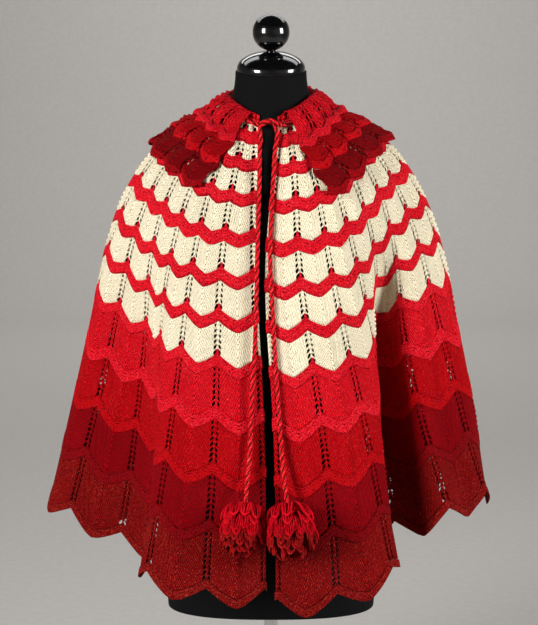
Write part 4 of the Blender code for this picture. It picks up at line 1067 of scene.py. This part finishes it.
def looped_pompom(pompom, axis):
    """Pompom of yarn loops in layers; each petal is an outer and an inner loop.

    A loop runs out along a quadratic Bezier curve in the plane of the axis, and back beside it. Its share
    along the curve is (1 - cos a) / 2, and its sideways place goes with -sin a to the power LOOP_BLUNTNESS,
    so that it is a blunt oval.
    """
    side = unit(np.cross(axis, [0, 1, 0]))
    other = np.cross(side, axis)
    rows = []
    for number, layer in enumerate(POMPOM_LAYERS):
        for petal in range(layer.petals):
            turn = (petal + RNG.uniform(-PETAL_STRAY, PETAL_STRAY)) / layer.petals + LAYER_TURN * number
            reach, lean = RNG.uniform(*PETAL_REACH, 2)
            sway = RNG.uniform(-PETAL_SWAY, PETAL_SWAY) / layer.petals * (SWAY_FIRST + SWAY_GROWTH * number)
            for share in LOOP_SHARES:
                z_tip = layer.z_tip + (share - 1) * LOOP_DROP + (1 - lean) * PETAL_LEAN
                rows.append(Loop(turn, sway, layer.width * share, list(YARNS).index(layer.wool),
                                 layer.r_start, layer.z_start, layer.r_shoulder, layer.z_shoulder,
                                 layer.r_tip * reach, z_tip))
    loops = Loop(*np.array(rows).T[:, :, None])
    a = np.linspace(0, 2 * math.pi, LOOP_POINTS, endpoint=False)[None, :]
    s = (1 - np.cos(a)) / 2
    start, shoulder, tip = (1 - s) ** 2, 2 * s * (1 - s), s ** 2
    radius = (start * loops.r_start + shoulder * loops.r_shoulder + tip * loops.r_tip) * pompom.half_width
    height = (start * loops.z_start + shoulder * loops.z_shoulder + tip * loops.z_tip) * pompom.half_height
    blunt = np.sign(np.sin(a)) * np.abs(np.sin(a)) ** LOOP_BLUNTNESS
    sideways = -blunt * loops.width / 2 * (LOOP_FOOT + (1 - LOOP_FOOT) * np.sqrt(s))
    angle = 2 * math.pi * (loops.turn + loops.sway * s)
    radial = np.cos(angle)[..., None] * side + np.sin(angle)[..., None] * other
    beside = -np.sin(angle)[..., None] * side + np.cos(angle)[..., None] * other
    centres = (np.array(pompom.centre) + height[..., None] * axis + (radius - YARN_RADIUS)[..., None] * radial
               + sideways[..., None] * beside)
    tangents = unit(np.roll(centres, -1, axis=1) - np.roll(centres, 1, axis=1))
    yarn = tubes(centres, tangents, radial, YARN_RADIUS, YARN_SIDES)
    quads, unrolled = grid_quads(LOOP_POINTS, YARN_SIDES, True, True)
    starts = np.arange(len(rows))[:, None, None] * LOOP_POINTS * YARN_SIDES
    uv = tube_uv(np.arange(LOOP_POINTS + 1)[:, None] * LOOP_STEP / YARN_PITCH, YARN_SIDES, unrolled)
    piece = mesh_piece("yarn_" + pompom.name, yarn, (quads[None] + starts).reshape(-1, 4),
                       list(YARNS.values()), np.repeat(loops.wool[:, 0].astype(int), len(quads)),
                       np.tile(uv, (len(rows), 1, 1)))
    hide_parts(pompom.name)
    return piece


# ---------------------------------------------------------------- dress form and stand
def lofted(name, rings, material, replaced):
    """Closed solid with flat ends, through rings from the bottom up, each from the front towards +X."""
    rings = np.asarray(rings, float)
    rows, columns = rings.shape[:2]
    quads, _ = grid_quads(rows, columns, closed_columns=True)
    bottom = np.arange(columns)[::-1]
    top = (rows - 1) * columns + np.arange(columns)
    faces = quads[:, ::-1].tolist() + [bottom.tolist(), top.tolist()]
    piece = mesh_piece(name, rings, faces, [material])
    piece.data.set_sharp_from_angle(angle=SHARP_ANGLE)
    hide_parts(replaced)
    return piece


def form_section(section, angles):
    """Oval with its own depth in front and behind, whose height may differ at the front, sides and back."""
    across, along = np.sin(angles), -np.cos(angles)
    power = 2 / section.squareness
    depth = np.where(along < 0, section.front, section.back)
    end_height = np.where(along < 0, section.z_front, section.z_back)
    x = section.half_width * np.sign(across) * np.abs(across) ** power
    y = section.side_y * across ** 2 + depth * np.sign(along) * np.abs(along) ** power
    z = section.z_side + (end_height - section.z_side) * along ** 2
    return np.stack([x, y, z], axis=-1)


def tilted_point(height, origin, tilt):
    """Point at a height on an axis that leans forward by the tilt."""
    return np.array(origin) + height * np.array([0, -math.sin(tilt), math.cos(tilt)])


def tilted_ring(half_width, half_depth, height, angles, origin, tilt):
    """Flat oval round an axis that leans forward by the tilt."""
    forward = np.array([0, -math.cos(tilt), -math.sin(tilt)])
    ring = np.outer(half_width * np.sin(angles), [1, 0, 0]) + np.outer(half_depth * np.cos(angles), forward)
    return tilted_point(height, origin, tilt) + ring


def form_torso(material):
    """Limbless torso and neck, smooth through all its sections."""
    angles = circle(FORM_COLUMNS)
    rings = [form_section(section, angles) for section in FORM_SECTIONS]
    rings.append(tilted_ring(NECK_TOP_HALF_WIDTH, NECK_TOP_HALF_DEPTH, 0, angles, NECK_TOP, NECK_TILT))
    rings = np.array(rings)
    knots = running(np.linalg.norm(np.diff(rings, axis=0), axis=-1).mean(axis=1))
    loft = spline(knots, rings, np.linspace(0, knots[-1], int(knots[-1] / FORM_ROW)))
    lofted("jersey_torso", loft, material, "form_torso")


def turned(name, profile, material, replaced, origin=(0, 0, 0), tilt=0.0):
    """Solid turned round an axis that may tilt forward, from (radius, height) points, bottom up."""
    rings = [tilted_ring(radius, radius, height, circle(TURN_SEGMENTS), origin, tilt)
             for radius, height in profile]
    return lofted(name, rings, material, replaced)


def arc(centre_radius, centre_height, radius, start, end, steps):
    """Profile points on an arc; angles in degrees from the outward direction, anticlockwise."""
    turns = np.radians(np.linspace(start, end, steps + 1))
    return [(centre_radius + radius * math.cos(t), centre_height + radius * math.sin(t)) for t in turns]


def dress_form():
    """Torso, domed neck cap, ball finial, pole and round base."""
    black, gloss, plate = jersey(), lacquer(), chrome()
    form_torso(black)
    last = math.acos(CAP_FLAT / CAP_RADIUS)
    dome = [(CAP_RADIUS * math.cos(a), CAP_RIM + (CAP_HEIGHT - CAP_RIM) * math.sin(a) / math.sin(last))
            for a in np.linspace(0, last, CAP_POINTS)]
    rim = arc(CAP_RADIUS - CAP_EDGE, CAP_EDGE, CAP_EDGE, -90, 0, RIM_STEPS)
    turned("gloss_neck_cap", [*rim, *dome], gloss, "form_neck_cap",
           tilted_point(SEAM_GAP, NECK_TOP, NECK_TILT), NECK_TILT)
    centre = BALL_PIN + math.sqrt(BALL_RADIUS ** 2 - BALL_PIN_RADIUS ** 2)
    start = -math.degrees(math.acos(BALL_PIN_RADIUS / BALL_RADIUS))
    ball = arc(0, centre, BALL_RADIUS, start, BALL_END, BALL_STEPS)
    turned("gloss_ball", [(BALL_PIN_RADIUS, 0), *ball], gloss, "form_finial",
           tilted_point(CAP_HEIGHT + 2 * SEAM_GAP, NECK_TOP, NECK_TILT), NECK_TILT)
    turned("chrome_pole", [(POLE_RADIUS, SOCKET_FLOOR + SEAM_GAP), (POLE_RADIUS, POLE_TOP)], plate,
           "stand_pole")
    hub = [(BASE_HUB_RADIUS + HUB_FLARE, BASE_HUB_FOOT - HUB_FLARE_DROP),
           (BASE_HUB_RADIUS, BASE_HUB_FOOT + HUB_STEP), (BASE_HUB_RADIUS - HUB_EDGE, BASE_HEIGHT - HUB_EDGE),
           (BASE_HUB_RADIUS - 2 * HUB_EDGE, BASE_HEIGHT)]
    bore = POLE_RADIUS + SEAM_GAP
    edge = arc(BASE_RADIUS - BASE_EDGE / 2, BASE_EDGE / 2, BASE_EDGE / 2, -90, 90, EDGE_STEPS)
    turned("gloss_base", [*edge, *hub, (bore, BASE_HEIGHT), (bore, SOCKET_FLOOR)], gloss, "stand_base")


# ---------------------------------------------------------------- view and light
def add_camera():
    """Camera in front of the cape, a little above its middle, looking slightly down."""
    data = bpy.data.cameras.new("camera")
    data.lens = CAMERA_LENS
    data.sensor_width = CAMERA_SENSOR
    camera = bpy.data.objects.new("camera", data)
    bpy.context.scene.collection.objects.link(camera)
    back = np.array([0, -math.cos(CAMERA_PITCH), math.sin(CAMERA_PITCH)]) * CAMERA_DISTANCE
    camera.location = np.array(CAMERA_TARGET) + back
    camera.rotation_euler = (math.pi / 2 - CAMERA_PITCH, 0, 0)
    bpy.context.scene.camera = camera


def area_light(light):
    """Soft rectangular light that faces its target."""
    data = bpy.data.lights.new(light.name, "AREA")
    data.shape = "RECTANGLE"
    data.size, data.size_y = light.size
    data.energy = light.power
    data.spread = math.radians(light.spread)
    lamp = bpy.data.objects.new(light.name, data)
    lamp.location = light.place
    x, y, z = np.array(light.target, float) - np.array(light.place, float)
    lamp.rotation_euler = (math.acos(-z / math.hypot(x, y, z)), 0, math.atan2(y, x) - math.pi / 2)
    bpy.context.scene.collection.objects.link(lamp)


def backdrop():
    """Pale seamless paper: a round floor that curves up into a wall far behind all views.

    A profile of a straight line, a quarter circle and a straight line is turned round the vertical axis.
    """
    quarter = np.linspace(0, math.pi / 2, SWEEP_POINTS)
    curve = np.column_stack([FLOOR_RADIUS + SWEEP_RADIUS * np.sin(quarter),
                             SWEEP_RADIUS * (1 - np.cos(quarter))])
    profile = np.concatenate([[[FLOOR_MIDDLE, 0.0]], curve, [[FLOOR_RADIUS + SWEEP_RADIUS, WALL_HEIGHT]]])
    angles = circle(FLOOR_SEGMENTS)
    rings = np.stack(np.broadcast_arrays(profile[:, :1] * np.cos(angles), profile[:, :1] * np.sin(angles),
                                         profile[:, 1:]), axis=-1)
    faces = grid_quads(*rings.shape[:2], closed_columns=True)[0].tolist() + [np.arange(len(angles)).tolist()]
    material, tree, shader = new_material("pale_backdrop_paper", Roughness=0.9, Specular_IOR_Level=0.1)
    place = node(tree, "TexCoord", {}).outputs["Object"]
    grain = node(tree, "TexNoise", {}, Vector=place, Scale=1 / (BACKDROP_GRAIN * MM), Detail=3.0)
    colour = node(tree, "ValToRGB", {}, grain, stops=((0.3, BACKDROP_COLOURS[0]), (0.7, BACKDROP_COLOURS[1])))
    plug(tree, shader, {"Base Color": colour})
    mesh_piece("backdrop", rings / MM, faces, [material], body=None)


add_camera()
drawstring()
neck_band()
cape_sheet("cape_yoke_upper", 0, CHEST_TIERS, ["yoke_upper"])
cape_sheet("cape_yoke_lower", CHEST_TIERS, WAIST_TIERS, tier_nodes(CHEST_TIERS, WAIST_TIERS))
for number in range(WAIST_TIERS, len(TIERS)):
    cape_sheet("cape_tier_" + TIERS[number].name, number, number + 1, tier_nodes(number, number + 1))
for number in range(len(COLLAR_SHADES)):
    collar_sheet(number)
dress_form()

bpy.context.scene.view_settings.view_transform = "Standard"
backdrop()
for light in LIGHTS:
    area_light(light)
world = bpy.data.worlds.new("studio")
world.use_nodes = True
world.node_tree.nodes["Background"].inputs["Color"].default_value = linear(WORLD_COLOUR)
world.node_tree.nodes["Background"].inputs["Strength"].default_value = WORLD_STRENGTH
bpy.context.scene.world = world
